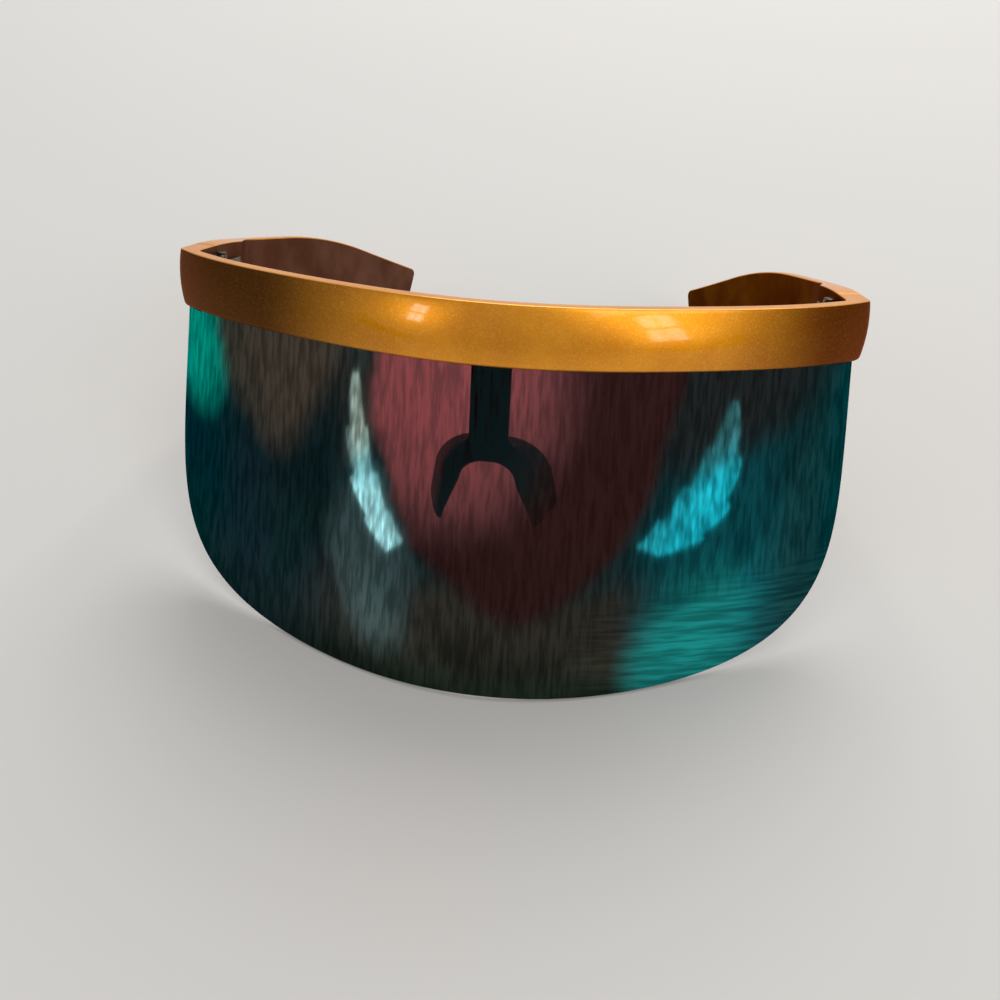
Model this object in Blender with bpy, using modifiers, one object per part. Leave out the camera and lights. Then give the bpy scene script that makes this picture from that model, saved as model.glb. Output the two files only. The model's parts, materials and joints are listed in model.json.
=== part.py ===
"""Visor sunglasses, in metres with +Z up.

A curved brow bar carries one wide mirrored lens in a groove along its underside. Its ends turn the
corner into short end pieces, and a temple is hinged to each with a five knuckle steel hinge. A black
nose piece hangs from the bar's back. The glasses are modelled level, with the middle of the bar's front
top edge at the origin, and an empty then leans them back, so that they stand on the lens and on the
temple tips as they do when laid down open, centred on the point that they stand over.
"""

import math

import bmesh
import bpy
from mathutils import Matrix, Vector

# Clearances
SEAT_GAP = 0.0003
HINGE_GAP = 0.0002
SCREW_GAP = 0.00015
OVERRUN = 0.002
WELD_SHARE = 0.05

# Brow bar, with its sweep back as shares of even powers of the half width
BAR_HALF_WIDTH = 0.0830
BAR_SWEEP = 0.0327
SWEEP_POWERS = (2, 4, 6)
SWEEP_SHARES = (1.232, -0.794, 0.562)
BAR_HEIGHT = 0.0140
BAR_THICKNESS = 0.0032
BAR_CROWN = 0.0007
BAR_TOP_ROUND = 0.0003
BAR_LOW_ROUND = 0.0009
BAR_STATIONS = 18
CORNER_FILLET = 0.0026
CORNER_REACH = 0.0024

# End pieces and temples, which follow one line that toes in from the bar's corner to the tip
END_PIECE_LENGTH = 0.0070
SIDE_THICKNESS = 0.0058
SIDE_TOE_START = math.radians(7)
SIDE_TOE_END = math.radians(28.5)
TEMPLE_LENGTH = 0.1095
TEMPLE_THICKNESS = 0.0030
TEMPLE_TIP_THICKNESS = 0.0022
TEMPLE_ROOT_LENGTH = 0.0125
TEMPLE_TAPER_LENGTH = 0.0060
TEMPLE_TIP_HEIGHT = 0.0135
TEMPLE_CROWN = 0.0005
TEMPLE_ROUND = 0.0005
TEMPLE_TIP_ROUND = 0.0018
TEMPLE_STATIONS = 30
TEMPLE_SLICES = 240
FRONT_DROP = math.radians(6)
FRONT_DROP_LENGTH = 0.0120
TAIL_DROP = math.radians(20)
EAR_BEND_START = 0.0410
EAR_BEND_LENGTH = 0.0390
SIDE_LENGTH = END_PIECE_LENGTH + SEAT_GAP + TEMPLE_LENGTH

# Lens
LENS_SIDE_INSET = 0.0013
LENS_HALF_WIDTH = BAR_HALF_WIDTH - LENS_SIDE_INSET
LENS_HEIGHT = 0.0792
LENS_THICKNESS = 0.0015
LENS_INSET = 0.0008
LENS_SIDE_POWER = 2.42
LENS_BOTTOM_POWER = 5.0
LENS_CORNER_SHARE = 0.82
LENS_LEAN_SHARE = 0.096
LENS_FLARE_SHARE = 0.084
LENS_TAB_DEPTH = 0.0062
LENS_TAB_STEP = 0.0050
LENS_COLUMNS = 44
LENS_ROWS = 14
LENS_SIDE_POINTS = 14
LENS_BOTTOM_POINTS = 34

# Hinges
HINGE_HEIGHT = 0.0100
HINGE_KNUCKLES = 5
BARREL_RADIUS = 0.0013
LEAF_THICKNESS = 0.0008
FRONT_LEAF_LENGTH = 0.0046
TEMPLE_LEAF_LENGTH = 0.0098
BARREL_SEGMENTS = 20

# Screws
HINGE_SCREW_RADIUS = 0.0007
HINGE_SCREW_HEAD_RADIUS = 0.0012
LEAF_SCREW_RADIUS = 0.0006
LEAF_SCREW_HEAD_RADIUS = 0.0011
LEAF_SCREW_BITE = 0.0022
FRONT_SCREW_SPACING = 0.0060
TEMPLE_SCREW_SPACING = 0.0038
NOSE_SCREW_RADIUS = 0.0007
NOSE_SCREW_HEAD_RADIUS = 0.0013
NOSE_SCREW_BITE = 0.0020
NOSE_SCREW_SPACING = 0.0046
NOSE_SCREW_DROP = 0.0039
SCREW_HEAD_HEIGHT = 0.0006
SCREW_SLOT_WIDTH = 0.0003
SCREW_SLOT_DEPTH = 0.0003
SCREW_SEGMENTS = 16

# Nose piece
STEM_WIDTH = 0.0090
STEM_THICKNESS = 0.0022
STEM_TOP = 0.0018
STEM_ROUND = 0.0006
ARCH_TOP = 0.0318
ARCH_HALF_WIDTH = 0.0082
ARCH_HEIGHT = 0.0071
ARCH_LEG_LENGTH = 0.0106
ARCH_LEG_SPLAY = 0.0031
ARCH_LEG_SET_BACK = 0.0028
ARCH_CROWN_THICKNESS = 0.0058
ARCH_LEG_THICKNESS = 0.0052
ARCH_TIP_THICKNESS = 0.0025
ARCH_CROWN_DEPTH = 0.0050
PAD_DEPTH = 0.0128
PAD_SPLAY = math.radians(17)
PAD_TIP_ROUND = 0.0020
PAD_TIP_SHARES = (0.3, 0.6, 0.9)
PAD_SECTION_POWER = 0.6
ARCH_STEPS = 18
LEG_STEPS = 4
PAD_SECTION_POINTS = 16

SHARP_ANGLE = math.radians(32)


def clear_scene():
    for old in list(bpy.data.objects):
        bpy.data.objects.remove(old, do_unlink=True)


def new_collection(name):
    collection = bpy.data.collections.new(name)
    bpy.context.scene.collection.children.link(collection)
    return collection


def material(name, colour, roughness, metallic=0.0, coat=0.0, alpha=1.0):
    made = bpy.data.materials.new(name)
    made.use_nodes = True
    made.diffuse_color = (*colour, alpha)
    shader = made.node_tree.nodes["Principled BSDF"]
    shader.inputs["Base Color"].default_value = (*colour, 1.0)
    shader.inputs["Roughness"].default_value = roughness
    shader.inputs["Metallic"].default_value = metallic
    shader.inputs["Coat Weight"].default_value = coat
    shader.inputs["Alpha"].default_value = alpha
    return made


def shaded(mesh):
    mesh.shade_smooth()
    mesh.set_sharp_from_angle(angle=SHARP_ANGLE)


def object_from(name, build, finish=None, helper=False):
    """A new object whose mesh is what build puts into an empty bmesh, with its faces turned outwards."""
    mesh = bpy.data.meshes.new(name)
    work = bmesh.new()
    build(work)
    bmesh.ops.recalc_face_normals(work, faces=work.faces)
    work.to_mesh(mesh)
    work.free()
    made = bpy.data.objects.new(name, mesh)
    if helper:
        CUTTERS.objects.link(made)
        made.hide_render = True
        made.display_type = "WIRE"
    else:
        PARTS.objects.link(made)
        shaded(mesh)
        mesh.materials.append(finish)
    return made


def boolean(target, tool, operation="DIFFERENCE"):
    step = target.modifiers.new(tool.name, "BOOLEAN")
    step.operation = operation
    step.object = tool


def loft(work, rings, close_start=True, close_end=True):
    """Joins closed rings of as many points each into a skin, with a face across each closed end."""
    loops = [[work.verts.new(point) for point in ring] for ring in rings]
    for low, high in zip(loops, loops[1:]):
        for i in range(len(low)):
            j = (i + 1) % len(low)
            work.faces.new((low[i], low[j], high[j], high[i]))
    if close_start:
        work.faces.new(loops[0])
    if close_end:
        work.faces.new(loops[-1])


def arc(centre, radius, start, end, steps):
    """Points round a centre in a plane, from one angle to another."""
    angles = [start + (end - start) * k / steps for k in range(steps + 1)]
    return [(centre[0] + radius * math.cos(a), centre[1] + radius * math.sin(a)) for a in angles]


def wall_section(thickness, height, crown, top_round, low_round, steps=6):
    """Outline of the bar's or a temple's wall, down its crowned outer face and up its flat inner face.

    Each point is its depth behind the outer face, its height above the top, and how far the crown lifts it.
    """
    quarter = math.pi / 2
    round_steps = 2
    outer = arc((top_round, -top_round), top_round, quarter, 2 * quarter, round_steps)
    span = height - top_round - low_round
    outer += [(0.0, -top_round - span * k / steps) for k in range(1, steps)]
    outer += arc((low_round, low_round - height), low_round, 2 * quarter, 3 * quarter, round_steps)
    back = thickness - top_round
    inner = arc((back, top_round - height), top_round, 3 * quarter, 4 * quarter, round_steps)
    inner += arc((back, -top_round), top_round, 0.0, quarter, round_steps)
    middle = height / 2
    points = []
    for depth, drop in outer:
        bulge = crown * (1 - ((drop + middle) / middle) ** 2) * (1 - depth / thickness)
        points.append((depth, drop, bulge))
    points += [(depth, drop, 0.0) for depth, drop in inner]
    return points


def brow_point(x):
    """Point of the bar's front top edge, and the direction square to it towards the face."""
    reach = x / BAR_HALF_WIDTH
    sweep = sum(share * reach**power for power, share in zip(SWEEP_POWERS, SWEEP_SHARES))
    rise = sum(power * share * reach ** (power - 1) for power, share in zip(SWEEP_POWERS, SWEEP_SHARES))
    slope = BAR_SWEEP / BAR_HALF_WIDTH * rise
    inward = Vector((-slope, 1, 0)).normalized()
    return Vector((x, BAR_SWEEP * sweep, 0)), inward


def side_toe(along):
    return SIDE_TOE_START + (SIDE_TOE_END - SIDE_TOE_START) * along / SIDE_LENGTH


def side_frame(along):
    """A plan point of the right side's outer line, with the ways back along it and inwards."""
    corner = brow_point(BAR_HALF_WIDTH)[0]
    turn = (SIDE_TOE_END - SIDE_TOE_START) / SIDE_LENGTH
    toe = side_toe(along)
    across = math.cos(toe) - math.cos(SIDE_TOE_START)
    behind = math.sin(toe) - math.sin(SIDE_TOE_START)
    back = Vector((-math.sin(toe), math.cos(toe), 0))
    inward = Vector((-math.cos(toe), -math.sin(toe), 0))
    return corner + Vector((across, behind, 0)) / turn, back, inward


def mitre(first, second):
    """The vector whose part along each of two unit normals is one."""
    return (first + second) / (1 + first.dot(second))


def bar_rings():
    """Rings of the bar's right half, from its middle plane round the corner to the seam with the temple."""
    corner, brow_in = brow_point(BAR_HALF_WIDTH)
    side_in = side_frame(0.0)[2]
    inner_corner = corner + brow_in * BAR_THICKNESS
    brow_along = Vector((brow_in.y, -brow_in.x, 0))
    shift = (SIDE_THICKNESS - side_in.dot(inner_corner - corner)) / side_in.dot(brow_along)
    inner_corner += brow_along * shift
    side_along = side_frame(0.0)[1]
    last_brow = BAR_HALF_WIDTH - SIDE_THICKNESS - CORNER_FILLET
    stations = []
    for k in range(BAR_STATIONS + 1):
        outer, inward = brow_point(last_brow * k / BAR_STATIONS)
        stations.append((outer, outer + inward * BAR_THICKNESS, -inward))
    outer, inward = brow_point(BAR_HALF_WIDTH - CORNER_REACH)
    stations.append((outer, inner_corner - brow_along * CORNER_FILLET / 2, -inward))
    fillet_middle = inner_corner + (side_along - brow_along) * CORNER_FILLET / 4
    stations.append((corner, fillet_middle, -mitre(brow_in, side_in)))
    for along in (CORNER_REACH, END_PIECE_LENGTH):
        outer, back, inward = side_frame(along)
        stations.append((outer, outer + inward * SIDE_THICKNESS, -inward))
    rings = []
    up = Vector((0, 0, 1))
    for outer, inner, bulge_way in stations:
        inward = (inner - outer).normalized()
        section = wall_section((inner - outer).length, BAR_HEIGHT, BAR_CROWN, BAR_TOP_ROUND, BAR_LOW_ROUND)
        ring = [outer + inward * depth + bulge_way * bulge + up * rise for depth, rise, bulge in section]
        rings.append(ring)
    return rings


def bent(point):
    """A point of the flat lens blank, as (across, behind its front, up), where the brow's curve puts it.

    Below the bar the lens leans forward and flares wider; inside the groove it stands straight up.
    """
    across, behind, up = point
    base, inward = brow_point(across)
    below = max(-up - BAR_HEIGHT, 0.0)
    place = base + inward * (LENS_INSET + behind)
    flare = 1 + LENS_FLARE_SHARE * below / LENS_HEIGHT
    return Vector((place.x * flare, place.y - LENS_LEAN_SHARE * below, up))


def flat_blank(name, half_width, top, bottom, front, back):
    """A flat slab in lens coordinates, divided finely enough to be bent."""

    def build(work):
        bmesh.ops.create_grid(work, x_segments=LENS_COLUMNS, y_segments=LENS_ROWS, size=1)
        for vert in work.verts:
            share = (vert.co.y + 1) / 2
            vert.co = (half_width * vert.co.x, front, bottom + (top - bottom) * share)
        sheet = bmesh.ops.extrude_face_region(work, geom=work.faces[:])["geom"]
        moved = [item for item in sheet if isinstance(item, bmesh.types.BMVert)]
        bmesh.ops.translate(work, verts=moved, vec=(0, back - front, 0))

    return object_from(name, build, helper=True)


def lens_outline():
    """Half of the lens' flat outline, from the middle of its tab round to the middle of its bottom edge."""
    shoulder = -BAR_HEIGHT - SEAT_GAP
    tab_top = -BAR_HEIGHT + LENS_TAB_DEPTH
    tab_half = LENS_HALF_WIDTH - LENS_TAB_STEP
    points = [(0.0, tab_top), (tab_half, tab_top), (tab_half, shoulder)]
    for k in range(LENS_SIDE_POINTS):
        depth_share = LENS_CORNER_SHARE * k / LENS_SIDE_POINTS
        across_share = (1 - depth_share**LENS_BOTTOM_POWER) ** (1 / LENS_SIDE_POWER)
        drop = SEAT_GAP + (LENS_HEIGHT - SEAT_GAP) * depth_share
        points.append((LENS_HALF_WIDTH * across_share, -BAR_HEIGHT - drop))
    for k in range(LENS_BOTTOM_POINTS + 1):
        across_share = LENS_CORNER_SHARE * (1 - k / LENS_BOTTOM_POINTS)
        depth_share = (1 - across_share**LENS_SIDE_POWER) ** (1 / LENS_BOTTOM_POWER)
        points.append((LENS_HALF_WIDTH * across_share, -BAR_HEIGHT - LENS_HEIGHT * depth_share))
    return points


def lens_stencil():
    """The lens' whole outline as a thick plate, which trims the flat blank."""
    half = lens_outline()
    whole = half + [(-across, up) for across, up in reversed(half[1:-1])]

    def build(work):
        front = [(across, -OVERRUN, up) for across, up in whole]
        back = [(across, LENS_THICKNESS + OVERRUN, up) for across, up in whole]
        loft(work, (front, back))

    return object_from("lens_stencil", build, helper=True)


def evaluated_mesh(name, source):
    """The mesh of an object with its modifiers applied."""
    bpy.context.view_layer.update()
    graph = bpy.context.evaluated_depsgraph_get()
    mesh = bpy.data.meshes.new_from_object(source.evaluated_get(graph))
    mesh.name = name
    return mesh


def bend_object(flat):
    """Bends a flat object of lens coordinates round the brow."""
    for vert in flat.data.vertices:
        vert.co = bent(vert.co)


def make_lens(finish):
    top = -BAR_HEIGHT + LENS_TAB_DEPTH + OVERRUN
    bottom = -BAR_HEIGHT - LENS_HEIGHT - OVERRUN
    blank = flat_blank("lens_blank", LENS_HALF_WIDTH + OVERRUN, top, bottom, 0.0, LENS_THICKNESS)
    stencil = lens_stencil()
    boolean(blank, stencil, "INTERSECT")
    mesh = evaluated_mesh("lens", blank)
    for helper in (blank, stencil):
        bpy.data.objects.remove(helper, do_unlink=True)
    lens = bpy.data.objects.new("lens", mesh)
    PARTS.objects.link(lens)
    mesh.materials.clear()
    mesh.materials.append(finish)
    bend_object(lens)
    shaded(mesh)
    return lens


def make_groove():
    """The cutter for the lens groove: the lens' tab with its clearance, bent as the lens is."""
    half_width = LENS_HALF_WIDTH - LENS_TAB_STEP + SEAT_GAP
    top = -BAR_HEIGHT + LENS_TAB_DEPTH + SEAT_GAP
    bottom = -BAR_HEIGHT - OVERRUN
    cutter = flat_blank("lens_groove", half_width, top, bottom, -SEAT_GAP, LENS_THICKNESS + SEAT_GAP)
    bend_object(cutter)
    return cutter


def temple_drop(along):
    """Slope of the temple's top edge, at a distance behind the seam."""
    front = FRONT_DROP * min(along / FRONT_DROP_LENGTH, 1.0)
    bend = min(max((along - EAR_BEND_START) / EAR_BEND_LENGTH, 0.0), 1.0)
    return front + (TAIL_DROP - FRONT_DROP) * bend


def temple_line():
    """The temple's top outer edge, in small steps: distance behind the seam, plan distance and drop."""
    step = TEMPLE_LENGTH / TEMPLE_SLICES
    plan, drop = 0.0, 0.0
    line = [(0.0, plan, drop)]
    for k in range(TEMPLE_SLICES):
        slope = temple_drop(step * (k + 1 / 2))
        plan += step * math.cos(slope)
        drop += step * math.sin(slope)
        line.append((step * (k + 1), plan, drop))
    return line


TEMPLE_LINE = temple_line()


def temple_thickness(along):
    if along < TEMPLE_ROOT_LENGTH:
        return SIDE_THICKNESS
    if along < TEMPLE_ROOT_LENGTH + TEMPLE_TAPER_LENGTH:
        share = (along - TEMPLE_ROOT_LENGTH) / TEMPLE_TAPER_LENGTH
        return SIDE_THICKNESS + (TEMPLE_THICKNESS - SIDE_THICKNESS) * share
    behind = TEMPLE_ROOT_LENGTH + TEMPLE_TAPER_LENGTH
    share = (along - behind) / (TEMPLE_LENGTH - behind)
    return TEMPLE_THICKNESS + (TEMPLE_TIP_THICKNESS - TEMPLE_THICKNESS) * share


def temple_frame(along):
    """Outer top point of the right temple at a distance behind the seam, with the ways inwards and down."""
    place = along / TEMPLE_LENGTH * TEMPLE_SLICES
    first = min(int(place), TEMPLE_SLICES - 1)
    share = place - first
    before, after = TEMPLE_LINE[first], TEMPLE_LINE[first + 1]
    plan = before[1] + (after[1] - before[1]) * share
    drop = before[2] + (after[2] - before[2]) * share
    outer, back, inward = side_frame(END_PIECE_LENGTH + SEAT_GAP + plan)
    slope = temple_drop(along)
    down = -(back * math.sin(slope) + Vector((0, 0, math.cos(slope))))
    return outer - Vector((0, 0, drop)), inward, down


def temple_rings(side):
    round_steps = 4
    straight = TEMPLE_LENGTH - TEMPLE_TIP_ROUND
    creases = (TEMPLE_ROOT_LENGTH, TEMPLE_ROOT_LENGTH + TEMPLE_TAPER_LENGTH)
    places = sorted([straight * k / TEMPLE_STATIONS for k in range(TEMPLE_STATIONS)] + list(creases))
    stations = [(along, 0.0) for along in places]
    for k in range(round_steps + 1):
        angle = math.pi / 2 * k / round_steps
        inset = TEMPLE_TIP_ROUND * (1 - math.cos(angle))
        stations.append((straight + TEMPLE_TIP_ROUND * math.sin(angle), inset))
    rings = []
    for along, inset in stations:
        outer, inward, down = temple_frame(along)
        share = along / TEMPLE_LENGTH
        height = BAR_HEIGHT + (TEMPLE_TIP_HEIGHT - BAR_HEIGHT) * share
        crown = BAR_CROWN + (TEMPLE_CROWN - BAR_CROWN) * share
        low_round = BAR_LOW_ROUND + (TEMPLE_ROUND - BAR_LOW_ROUND) * share
        section = wall_section(temple_thickness(along), height - 2 * inset, crown, BAR_TOP_ROUND, low_round)
        ring = [outer + inward * (depth - bulge) + down * (inset - drop) for depth, drop, bulge in section]
        rings.append([Vector((side * point.x, point.y, point.z)) for point in ring])
    return rings


def hinge_frame(side):
    """Matrix of a hinge at its axis' middle: its axes point inwards, back along the temple and up."""
    outer, back, inward = side_frame(END_PIECE_LENGTH + SEAT_GAP / 2)
    axis = outer + inward * (SIDE_THICKNESS + SEAT_GAP + BARREL_RADIUS)
    axis.z = -BAR_HEIGHT / 2
    columns = [Vector((side * way.x, way.y, way.z)) for way in (inward, back, Vector((0, 0, 1)), axis)]
    return Matrix([[*row] for row in zip(*columns)]).to_4x4()


def cylinder(work, frame, radius, low, high, segments, turn=None):
    """A closed cylinder along a frame's Z, or along its X or Y where turn says so."""
    middle = Matrix.Translation((0, 0, (low + high) / 2))
    bmesh.ops.create_cone(
        work,
        cap_ends=True,
        segments=segments,
        radius1=radius,
        radius2=radius,
        depth=high - low,
        matrix=frame @ (turn or Matrix.Identity(4)) @ middle,
    )


def leaf_outline(way, length):
    """Plan outline of a hinge leaf: its plate, and the barrel round the axis at the origin.

    way is 1 for a plate that runs back from the barrel, and -1 for one that runs forward.
    """
    plate_face = LEAF_THICKNESS - BARREL_RADIUS
    meet = math.pi - math.acos(-plate_face / BARREL_RADIUS)
    outline = [(-BARREL_RADIUS, way * length), (plate_face, way * length)]
    turned = arc((0.0, 0.0), BARREL_RADIUS, meet, -math.pi, BARREL_SEGMENTS)
    outline += [(across, way * along) for across, along in turned]
    return outline


def make_leaf(name, side, way, length, height, slots, holes, finish):
    """A hinge leaf: plate and barrel in one, less the other leaf's knuckles and the screw holes."""
    frame = hinge_frame(side)
    outline = leaf_outline(way, length)
    knuckle = HINGE_HEIGHT / HINGE_KNUCKLES

    def build(work):
        low = [frame @ Vector((across, along, -height / 2)) for across, along in outline]
        high = [frame @ Vector((across, along, height / 2)) for across, along in outline]
        loft(work, (low, high))

    leaf = object_from(name, build, finish)

    def build_slots(work):
        for slot in slots:
            middle = (slot - (HINGE_KNUCKLES - 1) / 2) * knuckle
            low = middle - (knuckle + HINGE_GAP) / 2
            high = middle + (knuckle + HINGE_GAP) / 2
            cylinder(work, frame, BARREL_RADIUS + HINGE_GAP, low, high, BARREL_SEGMENTS)

    def build_bore(work):
        reach = height / 2 + OVERRUN
        cylinder(work, frame, HINGE_SCREW_RADIUS + SCREW_GAP, -reach, reach, BARREL_SEGMENTS)

    def build_holes(work):
        turn = Matrix.Rotation(math.pi / 2, 4, "Y")
        for along, up in holes:
            place = frame @ Matrix.Translation((0, along, up))
            radius = LEAF_SCREW_RADIUS + SCREW_GAP
            cylinder(work, place, radius, -BARREL_RADIUS - OVERRUN, OVERRUN, SCREW_SEGMENTS, turn)

    boolean(leaf, object_from(f"{name}_slots", build_slots, helper=True))
    boolean(leaf, object_from(f"{name}_bore", build_bore, helper=True))
    boolean(leaf, object_from(f"{name}_holes", build_holes, helper=True))
    return leaf


def make_screw(name, frame, radius, head_radius, length, finish):
    """A slotted screw along the frame's Z: its head stands on the plane through the frame's origin."""

    def build(work):
        profile = [
            (0.0, -length),
            (radius - SCREW_GAP, -length),
            (radius, SCREW_GAP - length),
            (radius, 0.0),
            (head_radius, 0.0),
            (head_radius, SCREW_HEAD_HEIGHT / 2),
            (head_radius - SCREW_HEAD_HEIGHT / 2, SCREW_HEAD_HEIGHT),
            (0.0, SCREW_HEAD_HEIGHT),
        ]
        spun = [work.verts.new((reach, 0, up)) for reach, up in profile]
        edges = [work.edges.new(pair) for pair in zip(spun, spun[1:])]
        bmesh.ops.spin(
            work,
            geom=spun + edges,
            axis=(0, 0, 1),
            cent=(0, 0, 0),
            steps=SCREW_SEGMENTS,
            angle=2 * math.pi,
            use_merge=True,
        )
        bmesh.ops.remove_doubles(work, verts=work.verts, dist=WELD_SHARE * SCREW_GAP)
        bmesh.ops.transform(work, matrix=frame, verts=work.verts)

    screw = object_from(name, build, finish)

    def build_slot(work):
        floor = SCREW_HEAD_HEIGHT - SCREW_SLOT_DEPTH
        size = Matrix.Diagonal((2 * (head_radius + OVERRUN), SCREW_SLOT_WIDTH, OVERRUN, 1))
        place = frame @ Matrix.Translation((0, 0, floor + OVERRUN / 2)) @ size
        bmesh.ops.create_cube(work, size=1, matrix=place)

    boolean(screw, object_from(f"{name}_slot", build_slot, helper=True))
    return screw


def screw_hole(name, frame, radius, length):
    """A cutter for a screw's hole, with its clearance, from above the plane to past the screw's end."""

    def build(work):
        cylinder(work, frame, radius + SCREW_GAP, -length - SEAT_GAP, OVERRUN, SCREW_SEGMENTS)

    return object_from(name, build, helper=True)


def leaf_screw_frame(side, along, up):
    """Where a leaf's screw stands: on the leaf's inner face, pointing in towards the face."""
    seat = Matrix.Translation((LEAF_THICKNESS - BARREL_RADIUS + SCREW_GAP, along, up))
    return hinge_frame(side) @ seat @ Matrix.Rotation(math.pi / 2, 4, "Y")


def squared(turn):
    """A sine or cosine pushed towards its ends, which turns an ellipse into a rounded oblong."""
    return math.copysign(abs(turn) ** PAD_SECTION_POWER, turn)


def pad_section(thickness, depth, splay):
    """Rounded section of the nose piece: distance outwards from its middle line, and place behind its front.

    splay is the angle at which the section flares outwards towards its back.
    """
    points = []
    for k in range(PAD_SECTION_POINTS):
        angle = 2 * math.pi * k / PAD_SECTION_POINTS
        across = thickness / 2 * squared(math.cos(angle))
        along = depth / 2 * squared(math.sin(angle))
        points.append((across + math.tan(splay) * (along + depth / 2), depth / 2 + along))
    return points


def arch_stations():
    """The nose piece's middle line from the top of its arch down its right leg.

    Each station gives the point, the direction outwards, the section's thickness, how far it has come from
    crown to leg, 0 to 1, the section's size there, 1 but at the rounded tips, and how far it is set back.
    """
    half = []
    centre = -ARCH_TOP - ARCH_CROWN_THICKNESS / 2 - ARCH_HEIGHT
    quarter_steps = ARCH_STEPS // 2
    for k in range(quarter_steps + 1):
        angle = math.pi / 2 * (1 - k / quarter_steps)
        place = (ARCH_HALF_WIDTH * math.cos(angle), centre + ARCH_HEIGHT * math.sin(angle))
        outward = Vector((ARCH_HEIGHT * math.cos(angle), ARCH_HALF_WIDTH * math.sin(angle))).normalized()
        share = k / quarter_steps
        thickness = ARCH_CROWN_THICKNESS + (ARCH_LEG_THICKNESS - ARCH_CROWN_THICKNESS) * share
        half.append((place, outward, thickness, share, 1.0, 0.0))
    leg_out = Vector((ARCH_LEG_LENGTH, ARCH_LEG_SPLAY)).normalized()
    for k in range(1, LEG_STEPS + 1):
        share = k / LEG_STEPS
        place = (ARCH_HALF_WIDTH + ARCH_LEG_SPLAY * share, centre - ARCH_LEG_LENGTH * share)
        thickness = ARCH_LEG_THICKNESS + (ARCH_TIP_THICKNESS - ARCH_LEG_THICKNESS) * share
        half.append((place, leg_out, thickness, 1.0, 1.0, ARCH_LEG_SET_BACK * share))
    for share in PAD_TIP_SHARES:
        angle = math.pi / 2 * share
        reach = ARCH_LEG_LENGTH + PAD_TIP_ROUND * math.sin(angle)
        place = (ARCH_HALF_WIDTH + ARCH_LEG_SPLAY, centre - reach)
        half.append((place, leg_out, ARCH_TIP_THICKNESS, 1.0, math.cos(angle), ARCH_LEG_SET_BACK))
    return half


def nose_rings():
    half = arch_stations()
    stem_front = brow_point(STEM_WIDTH / 2)[0].y + BAR_THICKNESS + SEAT_GAP
    rings = []
    for way in (1, -1):
        stations = list(reversed(half)) if way == 1 else half[1:]
        for (across, up), outward, thickness, share, size, set_back in stations:
            depth = ARCH_CROWN_DEPTH + (PAD_DEPTH - ARCH_CROWN_DEPTH) * share
            ring = []
            for out, back in pad_section(thickness * size, depth * size, PAD_SPLAY * share):
                place_y = stem_front + depth * (1 - size) / 2 + set_back + back
                ring.append(Vector((way * (across + outward.x * out), place_y, up + outward.y * out)))
            rings.append(ring)
    return rings


def make_nose_piece(finish):
    nose = object_from("nose_bridge", lambda work: loft(work, nose_rings()), finish)
    front = brow_point(STEM_WIDTH / 2)[0].y + BAR_THICKNESS + SEAT_GAP
    low = -ARCH_TOP - ARCH_CROWN_THICKNESS / 2
    height = -STEM_TOP - low

    def build_stem(work):
        middle = Matrix.Translation((0, front + STEM_THICKNESS / 2, low + height / 2))
        size = Matrix.Diagonal((STEM_WIDTH, STEM_THICKNESS, height, 1))
        bmesh.ops.create_cube(work, size=1, matrix=middle @ size)
        bmesh.ops.bevel(work, geom=work.edges[:], offset=STEM_ROUND, segments=2, affect="EDGES")

    boolean(nose, object_from("nose_stem", build_stem, helper=True), "UNION")
    return nose


def nose_screw_frame(side):
    """Where a nose screw stands: on the stem's back, pointing back."""
    back = brow_point(STEM_WIDTH / 2)[0].y + BAR_THICKNESS + SEAT_GAP + STEM_THICKNESS + SCREW_GAP
    place = Matrix.Translation((side * NOSE_SCREW_SPACING / 2, back, -NOSE_SCREW_DROP))
    return place @ Matrix.Rotation(-math.pi / 2, 4, "X")


def empty(name, location, parent):
    made = bpy.data.objects.new(name, None)
    PARTS.objects.link(made)
    made.location = location
    made.parent = parent
    return made


def with_cutters(pieces):
    """The pieces and every object that their Boolean steps use, each once."""
    found = list(pieces)
    for piece in pieces:
        for step in piece.modifiers:
            if step.type == "BOOLEAN" and step.object not in found:
                found.append(step.object)
    return found


def hold(child, holder, origin):
    """Parents a piece with its origin at a point of the level glasses."""
    child.data.transform(Matrix.Translation(-origin))
    child.parent = holder


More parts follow.
